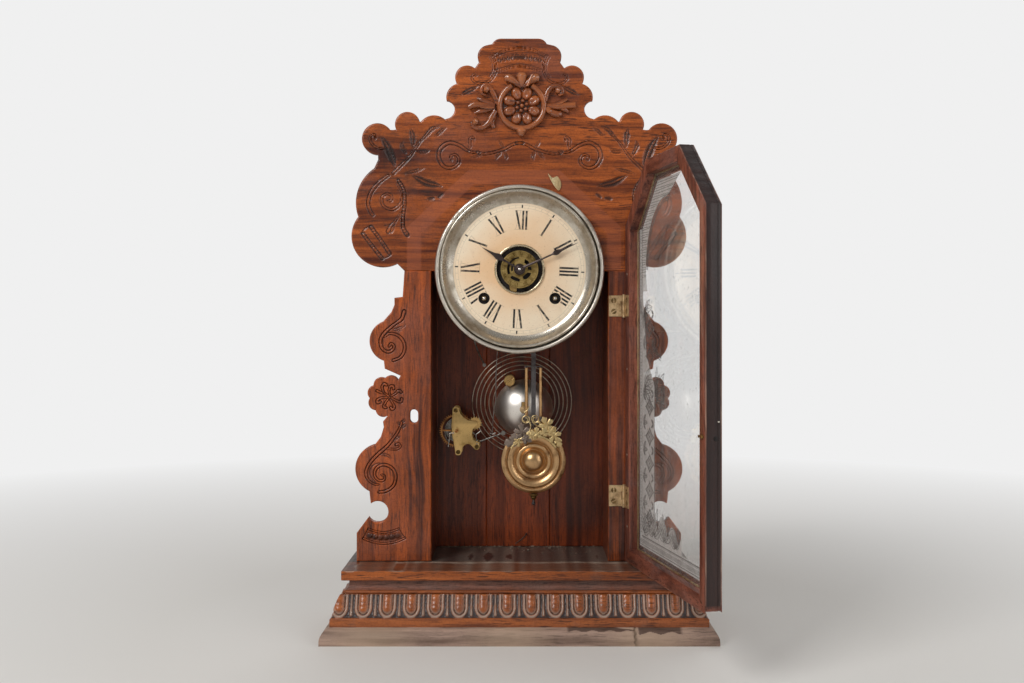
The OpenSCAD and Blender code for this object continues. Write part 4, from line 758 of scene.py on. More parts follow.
stileFoot = """
rib 1.4,1.8,2.2,2.2,1.8,1.2 1.3 572,200 530,300 440,420 340,510 270,590 238,670 258,735 310,775
    355,782;
rib 1.8,2,2,1.8,1.4 1.3 360,852 430,840 492,790 512,710 488,640 428,602 368,606 326,645 320,700
    356,742 402,740 410,705 385,692;
furrow 0.8,1 0.9 370,580 310,600 275,650 285,710 330,765;
leaf 0.4,1.8,1.8,0.3 1.2 548,262 575,250 600,232 618,218;
leaf 0.4,1.5,1.6,0.3 1.2 560,240 545,220 532,205 528,190;
leaf 0.4,1.5,1.6,0.3 1.2 575,215 585,200 590,185 600,165;
leaf 0.4,1.4,1.4,0.3 1.2 492,352 480,330 472,310 468,285;
leaf 0.4,1.6,1.6,0.3 1.2 485,375 510,360 535,345 560,330;
rib 1.2,1.5,1.6 1.2 430,452 480,455 530,452 555,430 540,405 518,415;
leaf 0.4,2,2,0.4 1.2 370,510 410,505 450,520 478,552;
rib 1.3,1.3 1.2 262,1192 330,1215 400,1224 475,1215 545,1190;
rib 1.4,1.4 1.2 215,1280 300,1312 400,1326 505,1312 598,1276;
furrow 0.8,0.8 1 258,1190 235,1235 212,1275;
furrow 0.8,0.8 1 545,1190 570,1235 600,1275;
furrow 4.2,4.6,4.2 1 262,1256 400,1276 540,1256"""
headCarving = strokes((340, 100), 8.253, headSides) + strokes((310, 20), 3.647, headMiddle)
headCarving += strokes((440, 30), 9.224, headCrown)
headCarving += strokes((440, 30), 9.224, "leaf 1,2.6,2.6,0.6 1.2 0,0 0,18 0,36 0,54",
                       ((548, 250), (590, 240), (632, 232), (675, 227), (718, 224), (762, 223)))
headCarving += mirrored(headCarving)
stileCarving = mirrored(strokes((340, 260), 9.8, stileTop) + strokes((340, 400), 9.224, stileFoot))


def basketBeads(x, z):
    # six round beads that stand in the basket's hollow, on either side of the clock
    lift = np.zeros(len(x))
    for cx, cy in ((270, 1255), (320, 1265), (372, 1271), (425, 1271), (478, 1265), (530, 1255)):
        bx, bz = onBoard(340 + cx / 9.224, 400 + cy / 9.224)
        gap = np.hypot(np.abs(x) - abs(bx), z - bz)
        lift = np.minimum(lift, -np.sqrt(np.clip(2.5 ** 2 - gap ** 2, 0, None)) * 0.62)
    return lift


carvedBoard("headBoard", [headOutline, arc(0, dialZ, 70, 0, 354, 59)], headCarving, "head_board", headOak,
            0.76)
latchHole = np.vstack([arc(-101.25, 203.4 + 2.5, 4, 0, 180, 12), arc(-101.25, 203.4 - 2.5, 4, 180, 360, 12)])
carvedBoard("leftStile", [stileOutline, latchHole * (-1, 1)], stileCarving, "left_stile", stileOak, 0.46,
            True, basketBeads)
carvedBoard("rightStile", [stileOutline], stileCarving, "right_stile", stileOak, 0.46, bump=basketBeads)
print("pressed boards made")


# the applied carving on the crest: a rosette in a ring, a bud above, scrolls and leaves to the sides
def onCrest(points, lift):
    # a path measured on an enlargement of the crest, standing lift mm in front of the board
    p = np.asarray(points, float)
    x, z = onBoard(440 + p[:, 0] / 9.224, 30 + p[:, 1] / 9.224, faceY - 4)
    return np.column_stack([x, np.full(len(p), faceY - lift), z])


def finger(points, widths, lift):
    # one lobe of a leaf or one run of a scroll; widths are its radii in mm at even steps
    steps = 12 * len(points)
    line = smoothLine(onCrest(points, lift), steps)
    return tube(line, np.interp(np.linspace(0, 1, steps), np.linspace(0, 1, len(widths)), widths), 14,
                flat=0.8)


def rosette(centre, size, petals):
    # a disc whose height makes petals with a hollow between each two
    r, turn = np.meshgrid(np.linspace(0.2, size, 70), np.linspace(0, 2 * np.pi, 240, endpoint=False),
                          indexing="ij")
    # 0 in the middle of a petal, 1 between two
    across = np.abs(((turn * petals / (2 * np.pi)) % 1) - 0.5) * 2
    # angle from the middle of the nearest petal
    phase = (across / 2) * 2 * np.pi / petals
    along, beside = r * np.cos(phase) / size - 0.66, r * np.sin(phase) / size
    dome = np.sqrt(np.clip(1 - (along / 0.335) ** 2 - (beside / (0.262 + 0.05 * along)) ** 2, 0, 1))
    cup = 0.34 * np.exp(-((along + 0.06) / 0.15) ** 2 - (beside / 0.1) ** 2)
    crease = 0.14 * np.exp(-(beside / 0.02) ** 2) * np.clip(0.3 - along, 0, 0.6)
    high = 1.3 + 4.9 * np.clip(dome - cup - crease, 0, 1)
    points = np.stack([centre[0] + r * np.cos(turn), faceY - high, centre[1] + r * np.sin(turn)], -1)
    return points.reshape(-1, 3), gridFaces(70, 240, wrapCols=True)


crestAt = onCrest([(755, 697)], 0)[0, [0, 2]]
ringTurn = np.radians(np.linspace(117, 423, 90))
ringLine = np.column_stack([crestAt[0] + 21.3 * np.cos(ringTurn), np.full(90, faceY - 2.6),
                            crestAt[1] + 21.3 * np.sin(ringTurn)])
crestParts = [rosette(crestAt, 19.3, 8), tube(ringLine, 2.9, 16, flat=1.05),
              blob((crestAt[0], faceY - 3.6, crestAt[1]), (2.1, 2.6, 2.1))]
for k in range(6):
    a = math.radians(60 * k + 20)
    crestParts.append(blob((crestAt[0] + 4.7 * math.cos(a), faceY - 2.9, crestAt[1] + 4.7 * math.sin(a)),
                           (1.9, 2.4, 1.9)))
# each lobe: its radii in mm, its height above the board, its points
crestLobes = """
2.6,5.4,2.8 3.2 752,885 752,928 752,975;
1.6,3.2,4.6,3.4 2.8 750,525 700,480 635,440 600,445;
1.8,4.2,5.6,4.2 3.2 758,525 756,470 755,425 756,395;
1.6,3.4,4.9,3.6 2.8 770,525 815,480 880,440 915,445;
1.2,1.5,1.2 6 805,520 828,470 852,415;
2.4,2.7,2.7,2.4,2,1.7,1.2 2.4 536,680 505,610 472,545 430,503 388,525 384,575 425,600;
2.6,4.2,2.6 3.2 445,560 425,545 405,540;
1.8,2.4,2.5,1.2 2.2 505,690 440,660 385,640 340,625;
2,2.6,3.4,2.6 2.8 505,700 400,690 320,685 262,712;
1.8,2.3,2.3,1.1 2.2 505,712 430,735 370,745 322,762;
1,1.4,0.8 4.2 498,716 440,718 372,712;
2.6,3.6,3,2.8,2.2,1.6 2.6 512,740 478,800 440,862 375,900 306,884 292,838;
2.6,4.4,2.8 3.2 350,850 326,843 306,835;
2.2,2.6,1.4 2 505,790 480,850 500,900;
2.3,2.6,2.7,2.4,2.1,1.6 2.6 972,650 990,572 1040,517 1104,520 1132,572 1092,598;
2.2,3.6,2.2 3.4 1110,560 1088,556 1066,556;
1.8,2.7,2.6,1.1 2.4 990,690 1060,690 1130,660 1178,632;
2,2.8,3.2,3.2 3 990,695 1080,705 1160,695 1250,690;
1.8,2.4,1.3 2.4 1100,710 1150,730 1185,752;
0.9,1.2,0.7 4.6 1080,690 1130,668 1172,640;
2.4,3.2,3.4,2.2 2.4 995,720 1040,760 1095,775 1120,760;
2.4,3,1.8 3.6 985,715 1010,745 1030,750
"""
for row in crestLobes.split(";"):
    radii, lift, *points = row.split()
    crestParts.append(finger([point.split(",") for point in points], np.array(radii.split(","), float),
                             float(lift)))
# depth darkens the carving within 2.3 mm of the board, painted shade in the creases with varnish gathered
# there; rim lightens its highest points, a painted highlight
crestFront = faceY - np.vstack([p for p, *_ in crestParts])[:, 1]
piece("crestCarving", crestParts, "case", crestOak, "crest_ornament", smooth=60,
      depth=np.clip((2.3 - crestFront) * 0.8, 0, 1.5), rim=np.clip((crestFront - 4.4) * 0.35, 0, 0.7))
print("crest carved")


# the base: mouldings carried round the front and both sides, mitred at the corners
footHalf, footY, rearY = 181.7, -70.0, 70.0


def densely(points, step):
    # extra points along straight runs, at most step apart
    out = [points[0]]
    for a, b in zip(points, points[1:]):
        n = max(1, int(math.ceil(math.dist(a, b) / step)))
        out += [(a[0] + (b[0] - a[0]) * k / n, a[1] + (b[1] - a[1]) * k / n) for k in range(1, n + 1)]
    return out


def eggPattern(u, z, low=23.0, high=43.0, pitch=22.0, first=38.7):
    # height of the pressed eggs, their shells and the darts between, u mm along the run
    x = (u - first + pitch / 2) % pitch - pitch / 2
    v = z - low
    d = np.where(v > 8.9, np.abs(x), np.hypot(x, (8.9 - v) * 0.87))
    egg = 2.7 * np.sqrt(np.clip(1 - (d / 4.5) ** 2, 0, 1)) - 0.7
    shell = 1.7 * np.clip(np.sin(np.pi * np.clip((d - 5.0) / 3.2, 0, 1)), 0, 1) - 1.1
    w = np.abs(np.abs(x) - pitch / 2)
    dart = 1.9 * np.clip(1 - (w / (0.9 + 0.8 * np.clip((9 - v) / 8, 0, 1))) ** 2, 0, 1) * \
        np.clip((v - 1.2) / 1.5, 0, 1) - 1.1
    height = np.maximum(np.maximum(np.where(d < 4.7, egg, -1.1), shell), dart)
    inside = np.clip(v / 0.8, 0, 1) * np.clip((high - low - v) / 0.7, 0, 1)
    return height * inside, d, w


def aroundBase(outside, inner, relief, fine):
    # outside: profile points (inset, height) from bottom to top; inner: how far in the flat inside lies
    low, high = outside[0][1], outside[-1][1]
    s, z = np.array(outside + [(inner, high), (inner, low)]).T
    count, last = len(s), len(outside)
    sides = np.linspace(0, 1, int((rearY - footY) / fine) + 1)
    front = np.linspace(0, 1, int(2 * footHalf / fine) + 1)
    columns = [(-1, a) for a in sides[:-1]] + [(-1, 1)] + [(0, a) for a in front[1:-1]] + [(1, 1)]
    columns += [(1, a) for a in sides[::-1][1:]]
    points, deep, worn = [], [], []
    for side, a in columns:
        corner = side and a == 1
        x = side * (footHalf - s) if side else (2 * a - 1) * (footHalf - s)
        y = rearY + a * (footY + s - rearY) if side else footY + s
        along = s if corner else (y - footY if side else np.minimum(x + footHalf, footHalf - x))
        found = relief(along, z, x if corner or not side else side * (400 + y))
        # nothing on the inside
        h, dark, pale = [np.where(np.arange(count) < last, value, 0) for value in found]
        x = x + side * 0.909 * h
        y = y - (0.909 * h if corner or not side else 0)
        points.append(np.column_stack([x, y, z + 0.418 * h]))
        deep.append(dark)
        worn.append(pale)
    fill = filled(np.column_stack([s, z]))
    caps = np.vstack([fill, fill[:, ::-1] + (len(columns) - 1) * count])
    solid = np.vstack(points), gridFaces(len(columns), count, wrapCols=True), caps
    return solid, np.concatenate(deep), np.concatenate(worn)


def eggRelief(u, z, x):
    h, d, w = eggPattern(u, z)
    band = (z > 23.2) & (z < 42.8)
    # dark: painted shade, with grime, in the hollows round the eggs, shells and darts; pale: painted
    # highlights on the raised shells and the eggs' curving rims
    dark = np.where(band, np.clip((-0.15 - h) * 1.6, 0, 1.5), 0)
    pale = np.where(band & (d > 4.7), np.clip((h + 0.4) * 0.9, 0, 1), 0) + \
        np.where(band & (d <= 4.7), np.clip((d - 3.0) * 0.5, 0, 0.6), 0)
    h = h + 0.12 * np.sin(x * 0.9) * np.cos(z * 1.7 + x * 0.31) * band
    return h, dark, pale


def plainRelief(u, z, x):
    return 0.08 * np.sin(x * 0.11 + z), 0 * z, 0 * z


def footRelief(u, z, x):
    # knocks along the edges, and on the front a crack and a strip of lost veneer
    wear = 0.5 * np.sin(x * 0.21) * np.sin(x * 0.083 + 1) * np.clip((z - 9) / 6, 0, 1) - \
        0.12 * np.abs(np.sin(x * 0.57 + z))
    crack = np.exp(-((x - 105 - 0.5 * np.sin(z * 1.3)) / 0.8) ** 2) * (np.abs(x) < 180)
    strip = np.clip(np.minimum((x - 42) / 3, (98 + 8 * np.sin(z * 2) - x) / 3), 0, 1) * \
        (z > 12.6 + 0.6 * np.sin(x * 0.4))
    strip = np.maximum(strip, np.clip(np.minimum((x - 107) / 2, (150 - x) / 4), 0, 1) *
                       (z > 11.2 + 0.9 * np.sin(x * 0.33)))
    stain = np.exp(-((x - 104 - (13 - z) * 0.25) / 2.2) ** 2) * (z < 13) * (np.abs(x) < 180)
    height = (wear * 0.5 - 1.6 * crack - 0.5 * strip) * np.clip(z / 3, 0, 1)
    dark = np.clip(1.5 * crack + 0.95 * strip + 0.8 * stain, 0, 1.5)
    return height, dark, np.clip(np.sin(x * 0.05 + 2) * 0.35 + 0.25, 0, 0.6) * (1 - strip)


footRing = densely([(0, 0), (0, 3.5)] + arc(11.5, 3.5, 11.5, 180, 107, 13).tolist() + [(8.5, 15)], 0.8)
part, dark, pale = aroundBase(footRing, 34, footRelief, 0.9)
piece("footMoulding", [part], "case", footOak, "foot_molding", smooth=50, depth=dark, rim=pale)
eggRing = densely([(8.5, 15.02), (8.5, 22), (9.5, 23)], 1.2) + densely([(9.5, 23), (18.7, 43)], 0.7)[1:] + \
    arc(20.2, 44.5, 1.5, 250, 110, 6).tolist()
part, dark, pale = aroundBase(eggRing, 34, eggRelief, 0.72)
piece("eggMoulding", [part], "case", baseOak, "egg_molding", smooth=60, depth=dark, rim=pale)
coveRing = densely([(21, 46.02), (21.5, 46.6)] + arc(19.2, 51, 5, -58, 0, 8).tolist() + [(24.2, 55.48)], 1.2)
part, dark, pale = aroundBase(coveRing, 34, plainRelief, 3.0)
piece("coveMoulding", [part], "case", coveOak, "cove_molding", smooth=50, depth=dark, rim=pale)
print("base mouldings made")


# the board on the base: its front edge worn, dust along the sill
def topBoard():
    xs = np.linspace(-164, 164, 220)
    knock = np.interp(xs, np.linspace(-165, 165, 60), np.abs(chance.normal(0, 0.55, 60))) + 0.5
    knock[(xs > -160) & (xs < -153)] += 0.6
    top = np.linspace(0, 1, 46) ** 1.3
    rows, dark, pale = [], [], []
    for x, k in zip(xs, knock):
        front, back, low, high = -52.3, 70.0, 55.5, 64.4
        ends = 1 - max(0, abs(x) - 163.2) / 0.8 * 0.06
        loop = [(front + 0.5, low), (front, low + 0.5), (front, high - k), (front + 0.3 * k, high - 0.3 * k)]
        wave = 0.12 * math.sin(x * 0.05)
        loop += [(front + k + (back - front - k) * t, high - 0.12 + wave * math.sin(t * 9)) for t in top]
        loop += [(back, low)]
        rows.append([(x, y, 60 + (z - 60) * ends) for y, z in loop])
        ys = np.array([y for y, z in loop])
        zs = np.array([z for y, z in loop])
        onTop = zs > 63.9
        sill = np.exp(-((ys + 15 + 1.2 * math.sin(x * 0.09)) / 2.6) ** 2) * \
            (0.75 + 0.25 * math.sin(x * 0.37)) * (abs(x) < 118)
        edge = np.clip((k - 0.5) * 0.5, 0, 0.6) * (np.abs(zs - (high - 0.3 * k)) < 0.3)
        pale.append(np.where(onTop, sill, 0) + edge)
        # the top is darkened, and further behind the case's front, where this is painted shade inside the
        # case
        dark.append(np.where(onTop, 0.7 + 0.55 * (ys > -10), 0.0))
    rows = np.array(rows)
    n = rows.shape[1]
    fill = filled(rows[0][:, 1:])
    caps = np.vstack([fill, fill[:, ::-1] + (len(xs) - 1) * n])
    body = (rows.reshape(-1, 3), gridFaces(len(xs), n, wrapCols=True), caps)
    return body, np.array(dark).ravel(), np.array(pale).ravel()


part, dark, pale = topBoard()
piece("baseTopBoard", [part], "case", boardOak, "base_top_board", smooth=40, depth=dark, rim=pale)
print("base board made")


# the inside of the case: three back planks, their nails, dust along the floor, a bent nail and the trip wires
def finish(material, *nodes):
    # a CAD piece whose shape is right keeps it and takes a finish
    for node in nodes:
        item = bpy.data.objects[node]
        item.data.materials.clear()
        item.data.materials.append(material)


backBoards = {"seams": (-96.9, -34.0, 30.5, 96.9), "front": 63.0, "back": 70.0, "low": 64.4, "high": 440.0}
planks = [block((left, backBoards["front"], backBoards["low"]),
                (right, backBoards["back"], backBoards["high"]), 0.7)
          for left, right in zip(backBoards["seams"][:-1], backBoards["seams"][1:])]
piece("backPlanks", planks, "case", innerOak, "back_board")


def nailHead(x, z):
    # a low domed head whose rim lies on the wood
    return lathe([(0, 0.75), (0.765, 0.7), (1.36, 0.45), (1.7, 0.1), (1.7, -0.6), (0, -0.6)],
                 (x, backBoards["back"], z), 14)


backNails = [nailHead(x, z) for x in (-91, -62, -38, -30, 0, 26, 35, 64, 91) for z in (71, 434)]
backNails += [nailHead(s * 91, z) for s in (-1, 1) for z in (140, 215, 290, 365)]
ironRust = metalMaterial("ironRust", (92, 78, 70), (74, 44, 30), 0.8, 160, 0.5, metallic=0.7)
piece("backNails", backNails, "case", ironRust)

# a nail left bent over near the floor, and the slack wires of the strike and the alarm
nailPath = smoothLine([(6.6, 63.6, 77.8), (6.4, 59.5, 77.4), (4.6, 56.2, 75.6), (0.6, 55.2, 72.2),
                       (-4.6, 55.6, 68.6)], 30)
piece("bentNail", [tube(nailPath, np.interp(np.linspace(0, 1, 30), [0, 0.8, 1], [0.75, 0.75, 0.3]), 10)],
      "case", ironRust)


def wireThrough(points, depths, radius, steps=60):
    # points are places in the photograph, each on its own depth in the case
    flat = [onBoard(x, y, d) for (x, y), d in zip(points, depths)]
    line = smoothLine([(x, d, z) for (x, z), d in zip(flat, depths)], steps)
    return tube(line, radius, 8)


tripWire = wireThrough([(499, 330), (497.3, 352), (496, 375), (495.7, 397), (493.4, 415.8), (492.5, 433.5)],
                       (36, 36, 35.5, 35, 34, 33.5), 0.42)
hookWire = wireThrough([(489.5, 433), (492.5, 434.3), (495.5, 432.6)], (33.2, 33.6, 33.2), 0.42, 20)
piece("tripWire", [tripWire, hookWire], "case", agedSteel)

crumbs = []
for k in range(90):    # grit swept against the back board, thinner towards the front
    x = chance.uniform(-80, 80)
    y = 62.6 - abs(chance.normal(0, 1.0)) * (7 if k % 4 == 0 else 2.2)
    size = chance.uniform(0.35, 1.1) * np.array([chance.uniform(0.8, 2.2), 0.9, 0.7])
    crumbs.append(blob((x, y, 64.4 + size[2] * 0.5), size, 8))
for k in range(26):
    x = chance.uniform(-83, 84)
    size = chance.uniform(0.3, 0.7) * np.array([chance.uniform(0.8, 2.0), 1.2, 0.6])
    crumbs.append(blob((x, chance.uniform(20, 58), 64.4 + size[2] * 0.5), size, 8))
material, tree, shader, place = newMaterial("grit")
grit = blendColour(tree, noise(tree, place, 160), colour(58, 42, 34), colour(150, 130, 112))
setInputs(tree, shader, {"Base Color": grit, "Roughness": 0.95})
piece("floorGrit", crumbs, "case", material)
finish(sideOak, "case_box", "base_rear_rail")
print("case lined")


# the dial: a tin rim and bowl, a holed plate, the paper's print and the ring round its middle
dialPlace = np.array([0, 0, dialZ])
dialTurn = math.radians(2.6)    # the dial sits a little turned
dial = {"rimOuter": 80.6, "rimInner": 76.4, "bowlOuter": 75.6, "bowlShift": (-0.5, 0.5), "paper": 64.5,
        "ring": (24.2, 21.7)}


def plateWithHoles(loops, low, high, place=np.asarray):
    # the first loop is the outline in (x, z), the rest are holes through it; flat faces at y = low and y =
    # high
    flat = np.vstack(loops)
    n = len(flat)
    fill = filled(flat, loops)
    points = np.vstack([np.column_stack([flat[:, 0], np.full(n, y), flat[:, 1]]) for y in (low, high)])
    walls, base = [], 0
    for loop in loops:
        k = np.arange(len(loop)) + base
        after = np.roll(k, -1)
        walls.append(np.stack([k, after, after + n, k + n], 1))
        base += len(loop)
    return place(points), fill, fill[:, ::-1] + n, np.vstack(walls)


def circle(x, z, r, count=48):
    a = np.linspace(0, 2 * np.pi, count, endpoint=False)
    return np.column_stack([x + r * np.cos(a), z + r * np.sin(a)])


def sweepRound(profile, centre, sides=180):
    # a closed profile (radius, y) carried round the dial's middle
    return lathe(np.vstack([profile, profile[:1]]), centre, sides)


rimEdge, bowlEdge = dial["rimOuter"], dial["bowlOuter"]
rimRing = [(0, -10), (0, -18.2), (0.25, -19.2), (0.8, -20.0), (1.7, -20.5), (2.5, -20.6), (3.3, -20.3),
           (3.9, -19.6), (4.2, -18.6), (4.3, -12), (4.9, -11), (4.9, -10)]
rimRing = [(rimEdge - inset, y) for inset, y in rimRing]
bowlRing = [(0, -12.5), (0, -18.8), (0.2, -19.5), (0.8, -20.0), (1.6, -20.1), (2.3, -19.8), (2.9, -19.1)]
bowlRing = [(bowlEdge - inset, y) for inset, y in bowlRing] + [
    (72.0, -18.3), (71.0, -17.1), (69.8, -15.6), (68.4, -14.2), (66.9, -13.0), (65.4, -12.1), (64.2, -11.6),
    (63.6, -11.4),
    (63.6, -11.05), (66.5, -11.3), (69.6, -14.0), (72.4, -17.6), (74.3, -19.0), (74.9, -18.4), (74.9, -12.5)]
seams = [(206, 386), (1352, 602)]    # the two nicks in the rim, on an enlargement of the dial
points, faces = sweepRound(rimRing, dialPlace, 360)
around = np.arctan2(points[:, 2] - dialZ, points[:, 0])
for sx, sy in seams:
    at = math.atan2(768 - sy, sx - 716)
    away = np.abs((around - at + np.pi) % (2 * np.pi) - np.pi) * rimEdge
    points[:, 1] += (points[:, 1] < -16) * 0.9 * np.exp(-(away / 0.7) ** 2)
points[:, 1] += (points[:, 1] < -16) * (0.12 * np.sin(around * 5 + 1) + 0.08 * np.sin(around * 11))
piece("dialRim", [(points, faces)], "case", rimTin, "dial_pan")
points, faces = sweepRound(bowlRing, dialPlace, 240)
shift = np.clip((-11.5 - points[:, 1]) / 6, 0, 1)    # the bowl is pushed off the middle, but not at its foot
points[:, 0] += dial["bowlShift"][0] * shift
points[:, 2] += dial["bowlShift"][1] * shift
piece("dialBowl", [(points, faces)], "case", bowlTin, "dial_pan")
windingHoles = [(-34.0, 316.3), (34.0, 316.3)]
backing = plateWithHoles([circle(0, dialZ, 64.4, 160), circle(0, dialZ, 24.0, 96)] +
                         [circle(x, z, 5.5) for x, z in windingHoles], -10.98, -10.3)
skirt = sweepRound([(rimEdge - 4.9, -10.02), (rimEdge - 4.9, -10.5), (63.6, -10.98), (63.6, -10.5)],
                   dialPlace)
collars = [sweepRound([(5.5, -11.2), (6.1, -11.2), (6.4, -10.9), (6.4, -10.3), (5.5, -10.3)], (x, 0, z), 40)
           for x, z in windingHoles]
# painted shade: a near-black ring behind the gap round the alarm disc, and dark cups lining the winding holes
shade = sweepRound([(5.2, -7.9), (23.9, -7.9), (23.9, -7.5), (5.2, -7.5)], dialPlace, 60)
wells = [lathe([(5.45, -11.1), (5.45, -8.0), (2.1, -8.0), (2.1, -7.6), (5.9, -7.6), (5.9, -11.0)], (x, 0, z),
               32) for x, z in windingHoles]
piece("dialShade", [shade] + wells, "case", paintedShade)
piece("dialPlate", [backing, skirt] + collars, "case", rimTin, "dial_pan")
outer, inner = dial["ring"]
ringShape = [(outer, -11.0), (outer, -12.2), (outer - 0.3, -12.8), (outer - 0.9, -13.1), (outer - 1.6, -13.0),
             (inner + 0.3, -12.5),
             (inner, -11.9), (inner, -9.4), (inner + 0.5, -9.4), (inner + 0.5, -11.0)]
piece("centreRing", [sweepRound(ringShape, dialPlace, 120)], "case", ringBrass, "dial_pan")
finish(dialPaper, "dial_paper")


def onDial(hour, u, r, turn=dialTurn):
    # u mm to the right and r mm out of the middle, for a numeral read with its feet to the middle
    a = math.radians(hour * 30) + turn
    return np.array([u * math.cos(a) + r * math.sin(a), dialZ - u * math.sin(a) + r * math.cos(a)])


def band(a, b, width):
    # the corners of a straight band from a to b
    side = np.array([a[1] - b[1], b[0] - a[0]]) / math.dist(a, b) * width / 2
    return np.array([a - side, b - side, b + side, a + side])


def throughHole(p, q, hole):
    # the two shares of the way from p to q where the line enters and leaves a winding hole, if it meets it
    d, f = q - p, p - np.array(hole)
    under = (f @ d) ** 2 - (d @ d) * (f @ f - 6.2 ** 2)
    if under <= 0:
        return None
    t = (-(f @ d) + np.array([-1, 1]) * math.sqrt(under)) / (d @ d)
    return np.clip(t, 0, 1) if t[1] > 0 and t[0] < 1 else None


def stroke(hour, u0, r0, u1, r1, width, ink):
    # a straight stroke, stopped where it meets a winding hole
    a, b = onDial(hour, u0, r0), onDial(hour, u1, r1)
    length = math.dist(a, b)
    side = a - band(a, b, width)[0]
    runs = [((0, 1), (0, 1))]
    for hole in windingHoles:
        cuts = [throughHole(a + k * side, b + k * side, hole) for k in (-1, 1)]
        met = [cut for cut in cuts if cut is not None]
        if met:
            first, second = [np.full(2, np.mean(met[0])) if cut is None else cut for cut in cuts]
            runs = [((0, first[0]), (0, second[0])), ((first[1], 1), (second[1], 1))]
    made = []
    for one, two in runs:
        if max(one[1] - one[0], two[1] - two[0]) * length > 0.3:
            ends = ((-1, one[0]), (-1, one[1]), (1, two[1]), (1, two[0]))
            corners = [a + k * side + (b - a) * t for k, t in ends]
            made.append((slab(corners, -11.36, -11.28), ink))
    return made


# letters and their places, from one o'clock
numerals = [("I", [0]), ("II", [-1.7, 1.7]), ("III", [-3.3, 0, 3.3]), ("IIII", [-5.0, -1.7, 1.7, 5.0]),
            ("V", [0]), ("VI", [-1.8, 3.2]), ("VII", [-3.6, 1.3, 4.6]), ("VIII", [-5.2, -0.3, 3.0, 6.3]),
            ("IX", [-3.7, 1.6]), ("X", [0]), ("XI", [-2.1, 2.8]), ("XII", [-3.4, 1.2, 4.4])]
printed = {"foot": 38.2, "top": 56.3, "bold": 1.85, "hair": 0.3}
foot, top, bold, hair = printed.values()


def numeralStrokes(shapes):
    # every stroke of the twelve numerals: hour, place of its letter, start and end beside that, width
    return [(hour, u, *shape) for hour, (letters, places) in enumerate(numerals, 1)
            for letter, u in zip(letters, places) for shape in shapes[letter]]


inked = []
for hour, u, start, end, width in numeralStrokes({"I": [(0, 0, bold)],
                                                  "V": [(0.5, -2.4, bold), (0.6, 2.5, hair)],
                                                  "X": [(2.1, -2.2, bold), (-2.2, 2.2, hair)]}):
    inked += stroke(hour, u + start, foot, u + end, top, width, 1.0 if width == bold else 0.5)
for hour, (_, places) in enumerate(numerals, 1):    # the hairline serifs, one across each end
    half = max(abs(u) for u in places) + 2.4
    inked += stroke(hour, -half, foot, half, foot, hair, 0.45) + \
        stroke(hour, -half, top, half, top, hair, 0.45)
for minute in range(60):
    low, high, width, ink = (58.7, 61.9, 1.25, 1.0) if minute % 5 == 0 else (58.9, 61.5, 0.22, 0.5)
    inked += stroke(minute / 5, 0, low, 0, high, width, ink)
for r in (58.9, 61.5):
    inked.append((sweepRound([(r - 0.1, -11.36), (r + 0.1, -11.36), (r + 0.1, -11.28), (r - 0.1, -11.28)],
                             dialPlace), 0.45))
piece("dialPrint", [p for p, _ in inked], "case", dialInk,
      ink=np.concatenate([np.full(len(p[0]), k) for p, k in inked]))
print("dial printed")


# hands with a raised ridge, their bosses, and the numbered brass disc that sets the alarm
hands = {
    "hour": {"at": 300.5, "back": -13.4,
             "line": [(4, 0.9), (12, 0.8), (16.5, 0.9), (19, 1.5), (21.5, 2.7), (23.5, 3.1), (25.5, 2.7),
                      (28, 1.7), (31, 1.2), (35, 0.7), (41, 0.15)]},
    "minute": {"at": 65.6, "back": -15.4,
               "line": [(3, 1.25), (12, 1.1), (22, 0.85), (33, 0.8), (35.5, 1.4), (37.5, 2.4), (39.5, 2.5),
                        (42, 1.7), (45, 1.05), (52, 0.6), (61, 0.12)]}}


def blade(at, back, line):
    # half-width as a function of the distance out, carried along the hand; the section is a low roof
    line = np.array(line, float)
    r = np.linspace(line[0, 0], line[-1, 0], 90)
    w = np.interp(r, *smoothLine(line, 400).T)
    a = math.radians(at)
    out, right = np.array([math.sin(a), math.cos(a)]), np.array([math.cos(a), -math.sin(a)])
    ridge = -0.3 - np.minimum(0.42, w * 0.5 + 0.1)
    rows = []
    for s, y in ((-1, 0), (-1, -0.3), (0, ridge), (1, -0.3), (1, 0)):
        flat = out * r[:, None] + right * (s * w)[:, None]
        rows.append(np.column_stack([flat[:, 0], back + y + 0 * r, dialZ + flat[:, 1]]))
    points = np.stack(rows, 1)
    ends = points.mean(1)
    points = np.concatenate([np.repeat(ends[:1, None], 5, 1), points, np.repeat(ends[-1:, None], 5, 1)])
    return points.reshape(-1, 3), gridFaces(92, 5, wrapCols=True)


hourBoss = sweepRound([(2.4, -13.1), (5.0, -13.1), (5.35, -13.5), (5.3, -14.1), (4.6, -14.7), (3.4, -14.95),
                       (2.4, -14.95)], dialPlace, 48)
minuteBoss = sweepRound([(1.25, -15.1), (3.7, -15.1), (4.1, -15.5), (4.0, -16.1), (3.3, -16.9), (2.2, -17.4),
                         (1.25, -17.5)], dialPlace, 48)
piece("hourHand", [blade(**hands["hour"]), hourBoss], "hour", handSteel, "hour_hand", smooth=28)
piece("minuteHand", [blade(**hands["minute"]), minuteBoss], "minute", handSteel, "minute_hand", smooth=28)
piece("arborTip", [lathe([(0, -19.0), (0.6, -18.95), (1.1, -18.6), (1.3, -18.0), (1.3, -17.2), (0, -17.2)],
                         dialPlace, 24)], "minute", polishedSteel)

